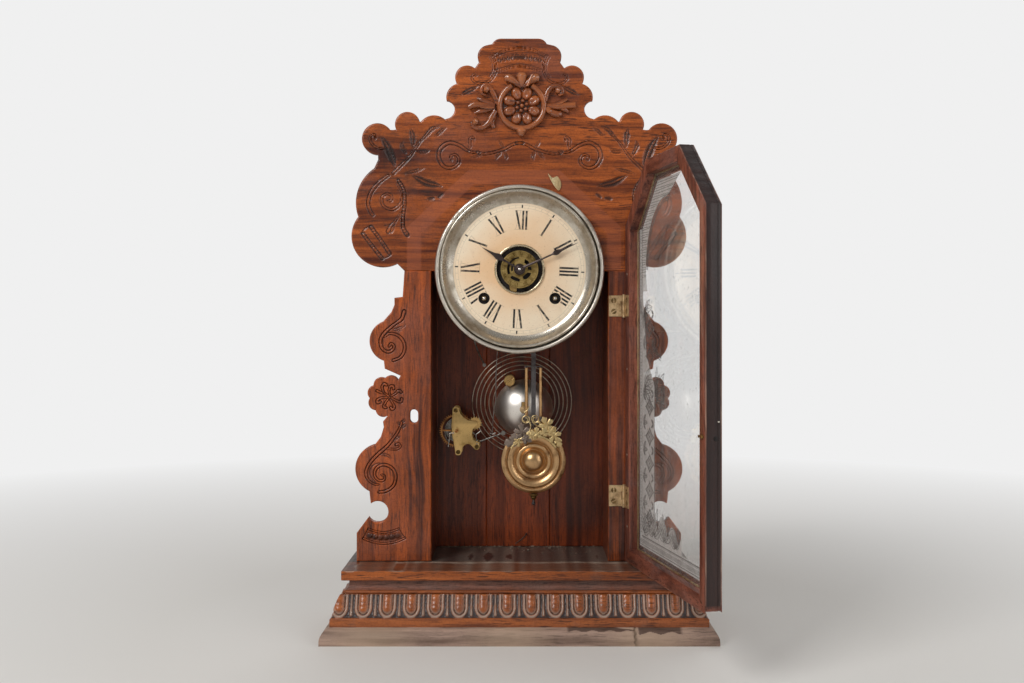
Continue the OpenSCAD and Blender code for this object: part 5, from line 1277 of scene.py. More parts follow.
alarmDisc = {"radius": 18.0, "front": -12.2, "back": -11.6, "figures": (13.3, 16.4)}
windows = [[(-9.1, -7.4), (-8.0, -8.9), (-4.4, -10.9), (0, -11.9), (0.3, -9.4), (-4.2, -7.2), (-7, -5.9)],
           [(3.0, -6.9), (3.7, -9.6), (6.6, -9.4), (10.2, -6.0), (11.2, -3.4), (7.7, -3.0)],
           [(8.0, -0.3), (11.6, -0.6), (11.2, 3.0), (7.8, 2.4)],
           [(4.4, 6.4), (5.4, 9.8), (8.4, 8.0), (9.9, 5.2), (7.2, 4.2)]]
windows.append(np.vstack([arc(0, 0, np.linspace(11.9, 12.0, 30), 92, 204, 29),
                          arc(0, 0, np.linspace(9.4, 10.5, 30), 204, 92, 29)]))
windows.append([(-8.2, -2.0), (-8.0, 2.4), (-5.6, 6.0), (-4.6, 4.6), (-6.3, 1.6), (-6.4, -1.4)])
loops = [circle(0, dialZ, alarmDisc["radius"], 120)] + [np.array(w) + (0, dialZ) for w in windows]
discPlate = plateWithHoles(loops + [circle(0, dialZ, 2.6, 24)], alarmDisc["front"], alarmDisc["back"])
discHub = sweepRound([(2.5, -9.6), (4.6, -9.6), (4.6, -12.4), (3.6, -12.6), (2.5, -12.6)], dialPlace, 36)
discLip = sweepRound([(18.0, -12.2), (18.0, -12.5), (17.6, -12.65), (17.2, -12.5), (17.1, -12.2)], dialPlace,
                     120)
piece("alarmDisc", [discPlate, discHub, discLip], "alarm_set", discBrass, "alarm_disc")


def discMark(hour, u0, r0, u1, r1, width):
    # a straight mark cut into the alarm disc, which stands turned by a little over an hour
    p, q = [onDial(hour, u, r, math.radians(38)) for u, r in ((u0, r0), (u1, r1))]
    return slab(band(p, q, width), alarmDisc["front"] - 0.05, alarmDisc["front"] + 0.1)


low, high = alarmDisc["figures"]
figures = numeralStrokes({"I": [(0, 0, 0.4)], "V": [(0.1, -0.7, 0.45), (0.1, 0.7, 0.2)],
                          "X": [(0.6, -0.6, 0.45), (-0.6, 0.6, 0.2)]})
discMarks = [discMark(hour, 0.3 * u + start, low, 0.3 * u + end, high, width)
             for hour, u, start, end, width in figures]
discMarks += [discMark(k / 4, 0, 16.7, 0, 17.1 if k % 4 else 17.0, 0.16 if k % 4 else 0.3) for k in range(48)]
for r in (12.6, 16.7):
    discMarks.append(sweepRound([(r - 0.08, -12.24), (r + 0.08, -12.24), (r + 0.08, -12.1),
                                 (r - 0.08, -12.1)], dialPlace, 96))
piece("discFigures", discMarks, "alarm_set", cutBrass)
lug = [(-9.9, -14.5), (-2.4, -16.5), (-2.9, -21.0), (-5.6, -21.2), (-9.0, -19.6)]
lug = plateWithHoles([np.array(lug) + (0, dialZ)], -9.4, -8.6)
piece("dialLug", [lug, tube([(-5.6, -9.0, 325.4), (-5.6, 8.4, 325.4)], 1.1, 12)], "case", plateBrass)
for (x, z), body in zip(windingHoles[::-1], ("time_winding", "strike_winding")):
    tip = lathe([(0, -13.0), (0.7, -12.9), (1.35, -12.5), (1.7, -11.9), (1.75, -10.6), (0, -10.6)], (x, 0, z),
                24)
    piece("windingTip_" + body, [tip], body, polishedSteel)
print("hands and alarm disc made")


# the door: six mitred rails whose profile is carried from mitre to mitre, beads, hinges and the latch button
door = {"edge": [(-2.5, 65.6), (-2.5, 384.5), (-61.75, 439.5), (-148.75, 439.5), (-208, 384.5), (-208, 65.6)],
        "wear": 0.5, "chip": 2.4, "chippedCorner": 5}


def insetLoop(loop, width):
    # each corner moved inwards so that its two sides move by width
    loop = np.asarray(loop, float)
    way = np.roll(loop, -1, 0) - loop
    way /= np.linalg.norm(way, axis=1)[:, None]
    left = np.column_stack([-way[:, 1], way[:, 0]])
    before = np.roll(left, 1, 0)
    return loop + (left + before) * width / (1 + np.sum(left * before, 1))[:, None]


def mitred(profile, i, stations=48, wear=0.0):
    # profile (width in from the edge, y) between the mitres at corners i and i + 1; gives points, faces and
    # (w, y, along)
    width, depth = np.array(profile, float).T
    outline = np.array(door["edge"])
    inward = (insetLoop(outline, 10.0) - outline) / 10.0
    j = (i + 1) % len(outline)
    t = np.linspace(0, 1, stations)[:, None]
    w = np.repeat(width[None], stations, 0)
    y = np.repeat(depth[None], stations, 0)
    if wear:    # knocks along the outer edge, and a chip where two rails meet
        rough = np.convolve(chance.normal(0, 1, stations + 6), np.ones(7) / 7, "valid")[:, None]
        corner = (width < 0.9) & (depth > -13.9)
        w = w + corner * np.abs(rough) * wear
        for at, fade in ((i, t), (j, 1 - t)):
            if at == door["chippedCorner"]:
                w = w + corner * door["chip"] * np.exp(-(fade * math.dist(outline[i], outline[j]) / 5.0) ** 2)
    start, end = [outline[k] + inward[k] * w[..., None] for k in (i, j)]
    flat = start * (1 - t[..., None]) + end * t[..., None]
    points = np.stack([flat[..., 0], y, flat[..., 1]], -1).reshape(-1, 3)
    cap = filled(np.column_stack([width, depth]))
    faces = gridFaces(stations, len(width), wrapCols=True)
    return (onDoor(points), faces, cap[:, ::-1], cap + (stations - 1) * len(width)), w, y, t


railShape = [(0.9, 0), (0.25, -0.25), (0, -0.9), (0, -5), (0, -9.7), (0.35, -10.0), (0.35, -10.3),
             (0, -10.6), (0, -12.2), (0.35, -13.3), (1.3, -14), (9, -14), (16.6, -14), (17.6, -13.7),
             (18, -12.8), (18, -11), (13.5, -11), (13.5, -0.8), (13.2, -0.2), (12.6, 0), (9.7, 0),
             (9.4, -0.35), (9.1, 0)]
doorRails = {"doorHingeStile": ((0,), "door_hinge_stile", "z"),
             "doorFreeStile": ((4,), "door_free_stile", "z"),
             "doorBottomRail": ((5,), "door_bottom_rail", "y"),
             "doorShoulders": ((1, 3), "door_arch_rails", "z"),
             "doorTopRail": ((2,), "door_arch_rails", "y")}
for name, (sides, node, grain) in doorRails.items():
    parts, depth, rim = [], [], []
    for i in sides:
        # only the hinge stile has the groove
        shape = [p for p in railShape if i == 0 or p[0] not in (9.7, 9.4, 9.1)]
        part, w, y, t = mitred(shape, i, wear=door["wear"])
        parts.append(part)
        outerFace = (w < 0.8) & (y < -0.5) & (y > -13)
        rebate = (w > 13.4) & (y > -10.9) & (y < -0.5)
        depth.append((outerFace * (1.15 if i in (3, 4) else 0.5) + rebate * 0.35).ravel())
        speck = np.clip(np.convolve(chance.normal(0, 1, len(t) + 4), np.ones(5) / 5, "valid")[:, None], 0, 1)
        rim.append((((np.abs(w - 0.25) < 0.5) & ((y > -0.5) | (y < -12.9))) * (0.12 + speck)).ravel())
    piece(name, parts, "door", doorFaceOak[grain], node, smooth=32, depth=np.concatenate(depth),
          rim=np.concatenate(rim))
beadShape = [(13.3, -9.0), (14.5, -9.0), (14.45, -8.4), (14.1, -8.0), (13.5, -7.8), (13.3, -7.8)]
piece("glassBeads", [mitred(beadShape, i, 12)[0] for i in range(6)], "door", beadTan, "glass_beads")
print("door framed")


def screwHead(centre, r, way, turn, place=np.asarray, dome=0.35):
    # a flat countersunk head with a slot: a grid of rings, pressed in along the slot; way is +1 or -1 along y
    rings, sides = np.linspace(0, 1, 9), np.linspace(0, 2 * np.pi, 40, endpoint=False)
    rr, aa = np.meshgrid(rings * r, sides, indexing="ij")
    x, z = rr * np.cos(aa), rr * np.sin(aa)
    across = np.abs(-x * math.sin(turn) + z * math.cos(turn))
    high = dome * np.clip((1 - (rr / r) ** 3), 0, 1) - 0.5 * (across < r * 0.16) * (rr < r * 0.97)
    points = np.stack([centre[0] + x, centre[1] + way * high, centre[2] + z], -1).reshape(-1, 3)
    return place(points), gridFaces(9, 40, wrapCols=True)


hinge = {"heights": (127.5, 309.0), "screwUp": 5.2, "frameScrew": 90.2, "doorScrew": -10.2, "radius": 2.6,
         "dome": 0.14}
frameScrews, doorScrews = [], []
for middle in hinge["heights"]:
    for k, z in enumerate((middle - hinge["screwUp"], middle + hinge["screwUp"])):
        frameScrews.append(screwHead((hinge["frameScrew"], -11.0, z), hinge["radius"], -1, 0.5 + 1.1 * k,
                                     dome=hinge["dome"]))
        doorScrews.append(screwHead((hinge["doorScrew"], 1.0, z), hinge["radius"], 1, 0.9 - 1.3 * k, onDoor,
                                    hinge["dome"]))
piece("frameHingeScrews", frameScrews, "case", screwBrass)
piece("doorHingeScrews", doorScrews, "door", screwBrass)
finish(wornBrass, "frame_hinge_leaves", "door_hinge_leaves", "hinge_pins")

# small nails in the hinge stile's back and the two pins that show in the free edge
def inFreeEdge(profile, y, z, sides):
    # turned about an axis that stands square to the free edge, and carried with the door
    points, faces = lathe(profile, (0, y, z), sides, "x")
    return onDoor(points * (-1, 1, 1) + (door["edge"][-1][0], 0, 0)), faces


pins = [inFreeEdge([(0, 0.5), (0.55, 0.35), (0.75, 0), (0.75, -0.5), (0, -0.5)], -10.8, 215.0, 12),
        inFreeEdge([(0, -0.8), (0.5, -0.95), (0.6, -1.4), (0, -1.4)], -8.4, 202.0, 12)]
for z in (339, 249, 168, 100):
    points, faces = lathe([(0, 0.25), (0.6, 0.2), (0.85, 0), (0.85, -0.4), (0, -0.4)], (-9.0, 0.0, z), 12)
    pins.append((onDoor(points), faces))
piece("doorNails", pins, "door", palePin)
# painted shade: a thin near-black disc on the free edge for the hole at the latch's height
holeShade = inFreeEdge([(2.1, 0), (1.9, 0.12), (1.2, 0.2), (0, 0.24)], -8.4, 202.0, 20)
piece("latchHoleShade", [holeShade], "door", paintedShade)
points, faces = lathe([(0, -14.35), (2.2, -14.33), (3.6, -14.2), (4.1, -13.9), (4.2, -13.2), (0, -13.2)],
                      (-201.25, 0, 203.4), 40)
points[:, 1] += 0.6 * ((np.abs(points[:, 2] - 203.4) < 0.7) & (points[:, 1] < -14.0))    # its slot
piece("latchButton", [(onDoor(points), faces)], "latch", agedBrass)
finish(agedBrass, "door_latch")
print("door hung")


# the glass, a thin haze of dust on it, and the stencilled border on its inner face
glass = {"inner": -9.0, "outer": -11.0, "fit": 13.8}
material, tree, shader, place = newMaterial("clearGlass")
setInputs(tree, shader, {"Base Color": (0.985, 0.992, 0.988, 1), "Transmission Weight": 1.0, "IOR": 1.5,
                         "Roughness": span(tree, noise(tree, place, 30, 3), 0.4, 0.7, 0.0, 0.015)})
pane = slab(insetLoop(door["edge"], glass["fit"]), glass["outer"], glass["inner"], 0.4, onDoor)
piece("glassPane", [pane], "door", material, "door_glass", smooth=20)
material, tree, shader, place = newMaterial("glassHaze")
cover = plus(tree, span(tree, noise(tree, place, 14, 6, 0.6), 0.4, 0.75, 0.02, 0.12),
             span(tree, noise(tree, place, 260, 3), 0.6, 0.8, 0, 0.2))
setInputs(tree, shader, {"Base Color": colour(214, 208, 202), "Roughness": 0.9, "Alpha": cover})
film = slab(insetLoop(door["edge"], 14.2), glass["inner"] + 0.15, glass["inner"] + 0.18, 0, onDoor)
piece("glassFilm", [film], "door", material)


def printOn(outline, thick=0.1, lift=0.03):
    # a flat shape in (distance from the hinge pin, height), printed on the glass's inner face
    return slab(np.array(outline) * (-1, 1), glass["inner"] + lift, glass["inner"] + lift + thick, 0, onDoor)


def frameOn(outer, inner):
    return plateWithHoles([outer * (-1, 1), inner * (-1, 1)], glass["inner"] + 0.03, glass["inner"] + 0.13,
                          onDoor)


def bar(u0, z0, u1, z1, width):
    return printOn(band(np.array([u0, z0]), np.array([u1, z1]), width))


def fourPoint(u, z, wide, tall):
    # a lozenge whose sides are drawn in
    t = np.linspace(0, 2 * np.pi, 32, endpoint=False)
    x, y = [np.sign(a) * np.abs(a) ** 2.5 for a in (np.cos(t), np.sin(t))]
    return np.column_stack([u + wide * x, z + tall * y])


def inkLine(points, width):
    # a thin printed line through the points
    line = smoothLine([(u, 0, z) for u, z in points], 6 * len(points))[:, ::2]
    way = np.gradient(line, axis=0)
    side = np.column_stack([-way[:, 1], way[:, 0]]) / np.linalg.norm(way, axis=1)[:, None] * width / 2
    return printOn(np.vstack([line - side, (line + side)[::-1]]))


def fern(u, z, size, start, end, count):
    # a fan of leaves in outline, each with a midrib and a few short veins
    made = []
    for k, a in enumerate(np.radians(np.linspace(start, end, count))):
        reach = size * (0.86 + 0.14 * math.sin(k * 2.3 + u))
        along, beside = reach * np.array([math.cos(a), math.sin(a)]), \
            reach * 0.14 * np.array([-math.sin(a), math.cos(a)])

        def inked(width, *points):
            made.append(inkLine([(u, z) + p * along + q * beside for p, q in points], width))

        inked(0.5, (0.12, 0), (0.5, 0.1 / (0.14 * reach)), (0.86, 0))
        for s in (-1, 1):
            inked(0.62, (0.12, 0), (0.4, s), (0.72, 0.8 * s), (1, 0))
            for v in (0.3, 0.45, 0.6):
                inked(0.36, (v, 0), (v + 0.07, 0.45 * s), (v + 0.1, 0.75 * s))
    return made


stencil = {"starsAt": (114, 139, 164, 188.5, 215.5, 262, 288), "starU": 49, "star": (11, 8),
           "beadArcs": ((-76, -21, 85.0), (-2, 92, 58.0)), "arcMiddle": (100, 344)}
lines = [bar(21.6, 86, 21.6, 381, 0.5), bar(27.2, 96, 27.2, 381, 0.6), bar(62.0, 118, 62.0, 222, 0.7)]
lines += [bar(22, 86.2, 188, 86.2, 0.6), bar(27, 94.4, 188, 94.4, 0.9)]
lines += [bar(24.4, z, 24.4, z + 1.3, 1.1) for z in np.arange(97, 378, 3.1)]
lines += [bar(u, 87.6, u, 91.6, 0.9) for u in np.arange(24, 187, 2.7)]
lines += [bar(u, 93.2, u + 1.1, 93.2, 0.7) for u in np.arange(28, 187, 2.7)]
u, (wide, tall) = stencil["starU"], stencil["star"]
for z in stencil["starsAt"]:
    shapes = [fourPoint(u, z, wide * k, tall * k) for k in (1.15, 0.86, 0.66, 0.48, 0.22)]
    lines += [frameOn(shapes[0], shapes[1]), frameOn(shapes[2], shapes[3]), printOn(shapes[4])]
    lines += fern(30, z + 12.2, 13, -42, 42, 3) + fern(60, z + 12.2, 9, 150, 210, 2)
for spray in ((30, 97, 28, 15, 88, 5), (60, 97, 31, 30, 150, 7), (90, 97, 29, 40, 145, 6),
              (118, 97, 22, 50, 150, 5),
              (32, 232, 32, -40, 50, 6), (64, 224, 34, -8, 80, 6), (32, 304, 24, -60, 30, 5)):
    lines += fern(*spray)
arcU, arcZ = stencil["arcMiddle"]
for first, last, radius in stencil["beadArcs"]:
    for a in np.radians(np.arange(first, last, 130 / radius)):
        lines.append(printOn(circle(arcU - radius * math.cos(a), arcZ + radius * math.sin(a), 0.95, 10)))
    for r in (radius - 2.4, radius + 2.4):
        rings = arc(0, arcZ, r, first, last, 39), arc(0, arcZ, r + 0.7, last, first, 39)
        lines.append(printOn(np.vstack(rings) * (-1, 1) + (arcU, 0)))


def hatchEnds(z):
    # where the hatching above the dial starts, at the door's edge, and where it stops, short of the beads
    right = arcU - math.sqrt(max(0, 61.5 ** 2 - (z - arcZ) ** 2)) if z < 404 else arcU + (z - 405) * 2
    return 28 + max(0, z - 380) * 59.25 / 55, right


for z in np.arange(335, 419, 2.3):
    left, right = hatchEnds(z)
    lines.append(bar(left, z, right, z + 0.8 * math.sin(z), 0.5))
piece("glassStencil", lines, "door", stencilPaint, smooth=20)
leafy = np.linspace(62, 132, 30)
leafTops = 98 + 27 * np.abs(np.sin(np.linspace(2.2, 10.4, 30))) ** 0.5 * np.linspace(1, 0.5, 30)
rise = np.linspace(322, 420, 50)
ends = np.array([hatchEnds(z) for z in rise])
grounds = [[(20.8, 84.4), (188, 84.4), (188, 96), (27, 96), (27, 380), (20.8, 380)],
           [(27, 96), (62, 96), (62, 236), (40, 262), (34, 300), (27, 330)],
           [(62, 96), *zip(leafy, leafTops), (132, 96)],
           [*zip(ends[:, 0], rise), *zip(ends[::-1, 1], rise[::-1])]]
piece("glassGround", [printOn(ground, 0.02, 0.065) for ground in grounds], "door", stencilWash, smooth=20)

# a pale curl of wood stands off the head board above the dial
chip = np.array([(925, 30), (962, 62), (1000, 52), (1030, 110), (1012, 160), (985, 140), (950, 85)])
chip = np.column_stack(onBoard(430 + chip[:, 0] / 7.84, 170 + chip[:, 1] / 7.84))


def curl(points):
    points[:, 1] -= 0.0035 * np.clip(points[:, 2] - chip[:, 1].min(), 0, None) ** 2
    return points


piece("woodCurl", [slab(smoothLine(chip, 42, closed=True), -10.9, -10.3, 0.1, curl)], "case", paleChip)
print("glass printed")


# the gong's wire, its post, the bell and the alarm's plates
gong = {"middle": (3.3, 212.9), "inner": 29.6, "pitch": 4.2, "start": 129.0, "turns": 5.5, "y": 50.0,
        "wire": 0.46}
turn = np.linspace(-0.01, gong["turns"], 900)
gongR = gong["inner"] + gong["pitch"] * turn
gongA = np.radians(gong["start"] + 360 * turn)
gongLine = np.column_stack([gong["middle"][0] + gongR * np.cos(gongA), np.full(900, gong["y"]),
                            gong["middle"][1] + gongR * np.sin(gongA)])
gongLine[:, 1] += 0.5 * np.sin(gongA * 0.5)    # the turns don't lie quite in one plane
piece("gongWire", [tube(gongLine, gong["wire"], 8)], "case", gongSteel, "gong_coil", smooth=80)
postX, postZ = -10.2, 235.4
post = lathe([(5.3, 34.35), (5.55, 34.9), (5.55, 36.4), (5.2, 37.0), (1.8, 37.0), (1.8, 45.5), (3.4, 45.7),
              (3.4, 51.5), (5.4, 51.7), (5.6, 52.1), (5.6, 62.6), (5.2, 63.0), (0, 63.0)], (postX, 0, postZ),
             40)


def onGong(points):
    # from the gong's own frame, turned to where its wire starts
    x, y, z = points.T
    c, s = math.cos(math.radians(gong["start"])), math.sin(math.radians(gong["start"]))
    return np.column_stack([gong["middle"][0] + x * c - z * s, y, gong["middle"][1] + x * s + z * c])


piece("gongPost", [post, screwHead((postX, 34.35, postZ), 5.3, -1, math.radians(35)),
                   block((23.5, 47, -6.2), (31.1, 53, -1.2), 0.6, onGong)], "case", agedBrass, "gong_post")
bell = {"middle": (4.3, 207.5), "rim": 44.0, "rise": 20.0, "radius": 29.0}
bellAt = (bell["middle"][0], 0, bell["middle"][1])
# radius of the sphere that it is cut from
ball = (bell["radius"] ** 2 + bell["rise"] ** 2) / (2 * bell["rise"])
reach = np.linspace(3.0, bell["radius"], 40)
outerBell = np.column_stack([reach, bell["rim"] - bell["rise"] + ball - np.sqrt(ball ** 2 - reach ** 2)])
innerBell = np.column_stack([reach * 0.965, outerBell[:, 1] + 1.1])[::-1]
bellShape = np.vstack([outerBell[:-1], [(29.0, 43.2), (29.1, 43.8), (28.7, 44.1), (28.1, 44.0)],
                       innerBell[2:]])
piece("bell", [sweepRound(bellShape, bellAt, 128)], "case", bellNickel, "alarm_bell", smooth=50)
nut = lathe([(0, 20.9), (1.3, 20.95), (1.6, 21.6), (1.6, 22.0), (3.1, 22.1), (3.5, 22.5), (3.5, 23.6),
             (4.2, 23.9), (4.2, 24.4), (2.0, 24.6), (2.0, 62.9), (8, 62.0), (8, 63.0), (0, 63.0)], bellAt,
            30)
piece("bellPost", [nut], "case", wornBrass, "bell_post")
piece("bellClip", [block((5.0, 21.2, 213.2), (8.0, 22.4, 229.0), 0.4),
                   block((1.6, 22.4, 205.0), (7.4, 23.4, 215.0), 0.4)], "case", agedBrass)

alarmTeeth = 48
alarmAt = np.array([-62.5, 186.0])
alarmWay = math.radians(22)
escapeAt = alarmAt + 0.7 * (alarmTeeth + 8) / 2 * np.array([math.cos(alarmWay), math.sin(alarmWay)])
hammerAt = escapeAt + (2, -20)
pillarAt = [alarmAt + p for p in ((-0.8, 20.4), (1.6, -20.9), (19.9, -15.6))]


def waist(*points):
    return smoothLine([alarmAt + p for p in points], 4 * len(points))


star = np.vstack([arc(*pillarAt[0], 3.5, 30, 190, 15), waist((-4.6, 14), (-5.2, 5), (-4.6, -4), (-2.9, -12)),
                  arc(*pillarAt[1], 3.3, 165, 345, 15),
                  waist((5.7, -16.5), (8.7, -13.6), (12, -13), (15, -14.8)),
                  arc(*pillarAt[2], 3.1, 215, 340, 11), arc(*hammerAt, 2.4, -20, 120, 11),
                  waist((16.6, -8.5), (15.4, -3.5), (16.2, 2)), arc(*escapeAt, 2.4, -50, 110, 11),
                  waist((11.5, 10.4), (7, 13.4), (3.7, 17.2))])
alarmParts = [slab(star, 25.8, 27.0, 0.3), slab(star, 45.5, 46.7)]
rivets = []
for x, z in pillarAt:
    alarmParts.append(lathe([(0, 27), (2.3, 27.0), (2.3, 28.4), (1.6, 29.2), (1.6, 43.2), (2.3, 44.2),
                             (2.3, 45.5), (0, 45.5)], (x, 0, z), 20))
    alarmParts.append(lathe([(0, 46.7), (2.4, 46.7), (2.4, 62.9), (0, 62.9)], (x, 0, z), 20))
    rivets.append(lathe([(0, 24.95), (0.85, 25.0), (1.0, 25.45), (1.3, 25.45), (1.5, 25.0), (2.0, 25.15),
                         (2.2, 25.9), (0, 25.9)], (x, 0, z), 24))
piece("alarmFrame", alarmParts, "case", plateBrass, "alarm_frame")
piece("alarmRivets", rivets, "case", darkBrass)
leverLine = [(-64.6, 25.2, 184.0), (-67.4, 24.6, 184.2), (-69.3, 24.2, 183.6), (-69.7, 23.8, 180.0),
             (-70.6, 23.4, 170.6)]
lever = [tube(smoothLine(leverLine, 30), 0.55, 8), blob((-69.3, 23.8, 183.6), (1.3, 1.0, 1.3), 14)]
piece("alarmLever", lever, "case", polishedSteel)
finish(copperBrass, "alarm_great_wheel")
finish(agedBrass, "alarm_escape_wheel")
finish(agedSteel, "alarm_hammer", "gong_hammer", "alarm_spring")
print("gong, bell and alarm made")


# the pendulum: a ringed bob, its tubes, leaves and wire scrolls, and the rating nut
pendulum = {"x": 13.5, "bobZ": 159.5, "bobBack": 0.7, "tubes": 6.9, "tubeRadius": 1.65,
            "tubeEnds": (202.5, 249.6)}
bobShape = [(0, 0), (30.6, 0), (31.2, 0.3), (31.3, 0.8), (31.0, 1.4), (30.0, 2.0), (28.6, 2.7), (27.6, 2.8),
            (26.9, 2.4), (26.4, 2.2), (25.9, 2.9), (25.2, 4.1), (24.2, 4.8), (22.8, 4.8), (21.0, 4.2),
            (19.4, 3.2), (18.6, 2.5), (18.1, 2.4), (17.6, 3.0), (16.9, 4.2), (15.9, 4.9), (14.6, 4.9),
            (13.3, 4.2), (12.2, 3.1), (11.5, 2.5), (11.0, 2.6), (10.6, 3.5), (10.1, 5.0), (8.9, 6.9),
            (7.0, 8.6), (4.6, 9.8), (2.2, 10.4), (0, 10.5)]
bobLine = np.vstack([[0, 0], np.maximum(smoothLine(bobShape[1:], 150), (0, -1))])
bob = lathe(bobLine * (1, -1) + (0, pendulum["bobBack"]), (pendulum["x"], 0, pendulum["bobZ"]), 144)
piece("bob", [bob], "pendulum", bobBrass, "pendulum_bob", smooth=60)

low, high = pendulum["tubeEnds"]
x, r = pendulum["x"], pendulum["tubeRadius"]
tubeShape = [(0, high - 1.2), (r * 0.55, high - 1.2), (r * 0.6, high), (r, high - 0.25),
             (r * 1.05, high - 1.4),
             (r * 0.94, high - 2.6), (r * 0.94, low + 6), (r, low + 1), (r * 0.9, low), (0, low)]
tubeParts = [lathe(tubeShape, (x + s * pendulum["tubes"], -0.9, 0), 24, "z") for s in (-1, 1)]
piece("pendulumTubes", tubeParts, "pendulum", tubeBrass, "pendulum_frame")
crossWire = smoothLine([(x - 8.3, -0.9, high + 0.3), (x - 7.2, -0.9, high + 1.0), (x, -1.3, high + 1.1),
                        (x + 7.2, -0.9, high + 1.0), (x + 8.6, -0.9, high + 0.4)], 40)
yoke = smoothLine([(x - 6.9, -1.0, low + 2), (x - 6.6, -2.2, low - 4), (x, -2.6, low - 8),
                   (x + 6.6, -2.2, low - 4), (x + 6.9, -1.0, low + 2)], 40)
piece("pendulumWires", [tube(crossWire, 0.5, 8), tube(yoke, 0.8, 8)], "pendulum", rodSteel)
finish(rodSteel, "pendulum_rod")


def leaf(u, z, size, turn, lift, points=5, deep=0.5, curl=1.0):
    # a pointed leaf: its edge is a wave round the middle, its face domed, with a crease down each lobe
    a = np.linspace(0, 2 * np.pi, 90, endpoint=False)[None, :]
    share = np.linspace(0, 1, 9)[:, None]
    lobe = np.abs(np.cos(a * points / 2))
    edge = size * (1 - deep + deep * lobe ** 0.8) * (1 + 0.07 * np.cos(a * points * 3)) * \
        (1 + 0.22 * np.cos(a))
    high = lift + curl * (0.5 - 0.9 * share ** 2 + 0.5 * share * lobe) - \
        0.35 * np.exp(-((1 - lobe) / 0.06) ** 2) * share
    front = np.stack([u + share * edge * np.cos(a + turn), -high, z + share * edge * np.sin(a + turn)], -1)
    return np.concatenate([front, front[::-1] + (0, 0.5, 0)]).reshape(-1, 3), gridFaces(18, 90, wrapCols=True)


def scroll(at, size, start, end, turns, radius, lift):
    # a wire that winds in from size to a third of it
    t = np.linspace(0, 1, 60)
    a = np.radians(start + (end - start) * t + 360 * turns * t)
    r = size * (1 - 0.66 * t)
    return tube(np.column_stack([at[0] + r * np.cos(a), -lift + 0 * t, at[1] + r * np.sin(a)]), radius, 8)


brassLeaves = [leaf(*row) for row in (
    (26.0, 194.2, 7.2, 2.0, 6.0, 5, 0.5, 1.4), (33.2, 184.6, 6.6, -0.9, 5.8, 5, 0.5, 1.3),
    (29.6, 188.6, 5.4, 0.6, 6.4, 5, 0.45), (17.0, 186.2, 6.2, 2.9, 6.2, 5, 0.45, 1.3),
    (23.0, 187.0, 4.6, 1.2, 6.6, 3, 0.4), (-1.2, 178.6, 4.6, 3.6, 6.4, 5, 0.5),
    (9.6, 184.4, 4.4, 0.4, 6.3, 3, 0.4), (37.2, 178.4, 4.2, -1.2, 5.6, 3, 0.4))]
greyLeaves = [leaf(*row) for row in (
    (2.4, 187.4, 7.6, 1.7, 6.3, 5, 0.5, 1.4), (5.8, 181.8, 5.2, -0.5, 6.6, 5, 0.45),
    (-7.4, 178.4, 6.0, 3.4, 5.8, 3, 0.4, 1.0), (-3.0, 182.6, 4.6, 2.6, 6.1, 3, 0.4))]
rail = np.radians(np.linspace(32, 150, 50))
hoop = tube(np.column_stack([x + 25.0 * np.cos(rail), np.full(50, -5.2),
                             pendulum["bobZ"] + 25.0 * np.sin(rail)]), 1.3, 10)
wires = [scroll((6.0, 200.0), 3.6, 100, 100, 1.0, 0.42, 5.6),
         scroll((15.0, 200.3), 3.6, 60, 60, -1.05, 0.42, 5.6)]
for u, z in ((6.0, 200.0), (15.0, 200.3)):
    flat = circle(u, z, 3.5, 40)
    wires.append(tube(np.column_stack([flat[:, 0], np.full(40, -5.4), flat[:, 1]]), 0.45, 8, closed=True))
for line, radius in (([(9.6, -5.6, 197.8), (10.6, -5.8, 193.2), (9.0, -6.0, 188.4), (5.2, -6.0, 185.4)], 0.5),
                     ([(12.2, -5.6, 197.6), (15.8, -5.8, 194.6), (20.6, -6.0, 192.2), (24.4, -6.0, 190.6)],
                      0.45),
                     ([(4.6, -5.4, 206.6), (7.6, -5.4, 209.4), (9.0, -5.4, 213.0)], 0.42)):
    wires.append(tube(smoothLine(line, 10 * len(line) - 10), radius, 8))
wires.append(blob((18.9, -5.9, 197.4), (1.3, 1.1, 1.3), 12))
piece("brassLeaves", brassLeaves + [hoop] + wires, "pendulum", leafBrass, "bob_ornament", smooth=40)
piece("greyLeaves", greyLeaves, "pendulum", leafGrey, "bob_ornament", smooth=40)
nutShape = [(0, 127.9), (3.6, 127.9), (4.2, 127.3), (4.1, 126.6), (3.0, 126.1), (2.6, 125.2), (2.9, 124.6),
            (2.3, 123.6), (1.5, 122.8), (1.3, 122.0), (0, 121.9)]
points, faces = lathe(nutShape, (x, -2.0, 0), 40, "z")
spin = np.arctan2(points[:, 1] + 2.0, points[:, 0] - x)
knurl = (np.abs(points[:, 2] - 127) < 0.8) * 0.16 * np.cos(spin * 20)
points[:, 0] -= knurl * np.cos(spin)
points[:, 1] -= knurl * np.sin(spin)
piece("ratingNut", [(points, faces)], "pendulum", darkBrass, "rating_nut")
print("pendulum hung")

# the movement keeps its CAD shapes and takes its finishes
finish(plateBrass, "front_plate", "back_plate")
finish(agedSteel, "movement_pillars", "verge", "strike_fly", "mainsprings", "minute_arbor")
finish(copperBrass, "time_great_wheel", "strike_great_wheel")
finish(agedBrass, "minute_wheel", "hour_wheel", "time_second_wheel", "centre_wheel", "third_wheel",
       "escape_wheel",
       "strike_pin_wheel", "strike_third_wheel", "time_winding_arbor", "strike_winding_arbor")
print("movement finished")


# the stage
stageParts = []
floorMaterial, tree, shader, place = newMaterial("paleFloor")
setInputs(tree, shader, {"Base Color": colour(228, 225, 220), "Roughness": 0.75})
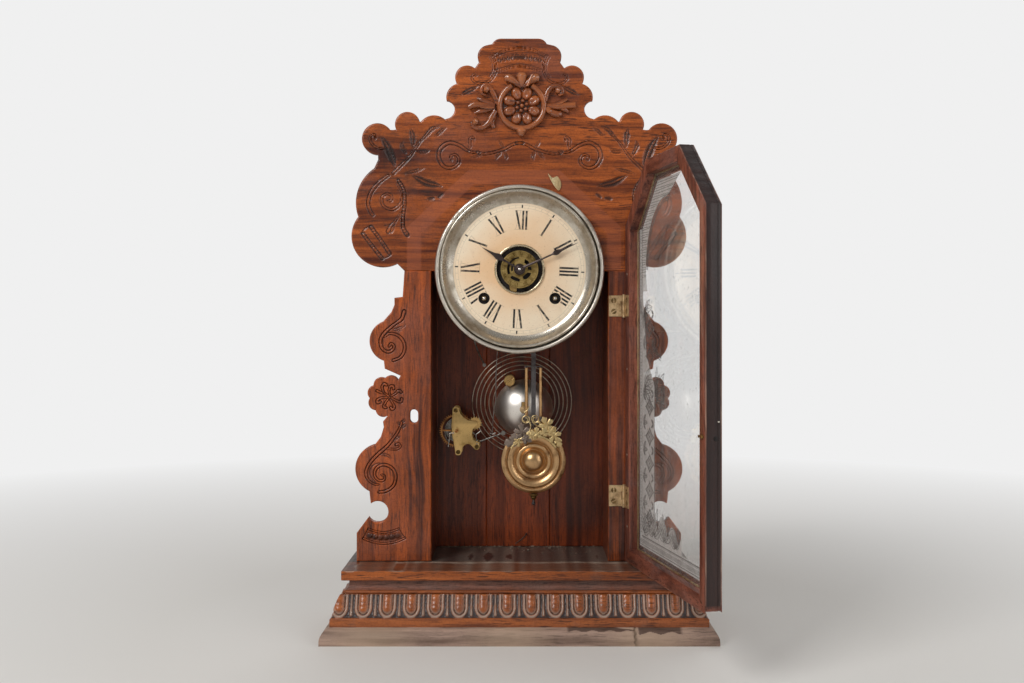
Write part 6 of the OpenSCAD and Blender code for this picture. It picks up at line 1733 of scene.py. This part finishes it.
# away from the clock the floor runs into the pale backdrop
away = onVector(tree, "LENGTH", place, out="Value")
rays = add(tree, "LightPath").outputs
seen = calc(tree, "MAXIMUM", rays["Is Camera Ray"], rays["Is Transmission Ray"])
plain = add(tree, "Emission", {"Color": colour(240, 240, 240), "Strength": 1.0}).outputs[0]
faded = add(tree, "MixShader", {0: times(tree, span(tree, away, 0.35, 1.5), seen), 1: shader.outputs[0],
                                2: plain})
tree.links.new(faded.outputs[0], tree.nodes["Material Output"].inputs["Surface"])
floorMesh = bpy.data.meshes.new("floor")
floorMesh.from_pydata([(-6, -4, 0), (6, -4, 0), (6, 6, 0), (-6, 6, 0)], [], [(0, 1, 2, 3)])
floorMesh.materials.append(floorMaterial)
floorItem = bpy.data.objects.new("floor", floorMesh)
bpy.context.scene.collection.objects.link(floorItem)
stageParts.append(floorItem)


def softLight(name, place, aim, size, power):
    data = bpy.data.lights.new(name, "AREA")
    data.shape, data.size, data.energy = "SQUARE", size, power
    item = bpy.data.objects.new(name, data)
    item.location = place
    item.rotation_euler = (Vector(aim) - Vector(place)).to_track_quat("-Z", "Y").to_euler()
    bpy.context.scene.collection.objects.link(item)
    stageParts.append(item)


softLight("key", (-1.5, -1.9, 1.9), (0, 0, 0.25), 1.1, 44)
softLight("fill", (1.8, -1.6, 1.1), (0, 0, 0.3), 1.6, 13)
softLight("back", (0.4, 1.8, 1.7), (0, 0, 0.3), 1.4, 10)
world = bpy.data.worlds.new("studio")
world.use_nodes = True
tree = world.node_tree
tree.nodes.clear()
rays = add(tree, "LightPath").outputs
seen = calc(tree, "MAXIMUM", rays["Is Camera Ray"], rays["Is Transmission Ray"])
seenColour = blendColour(tree, seen, (0.74, 0.73, 0.72, 1), colour(240, 240, 240))
strength = span(tree, seen, 0, 1, 0.42, 1.0)
tree.links.new(add(tree, "Background", {"Color": seenColour, "Strength": strength}).outputs[0],
               add(tree, "OutputWorld").inputs[0])
bpy.context.scene.world = world
bpy.context.scene.view_settings.view_transform = "Standard"
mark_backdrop(*stageParts)
print("stage set")

low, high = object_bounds()
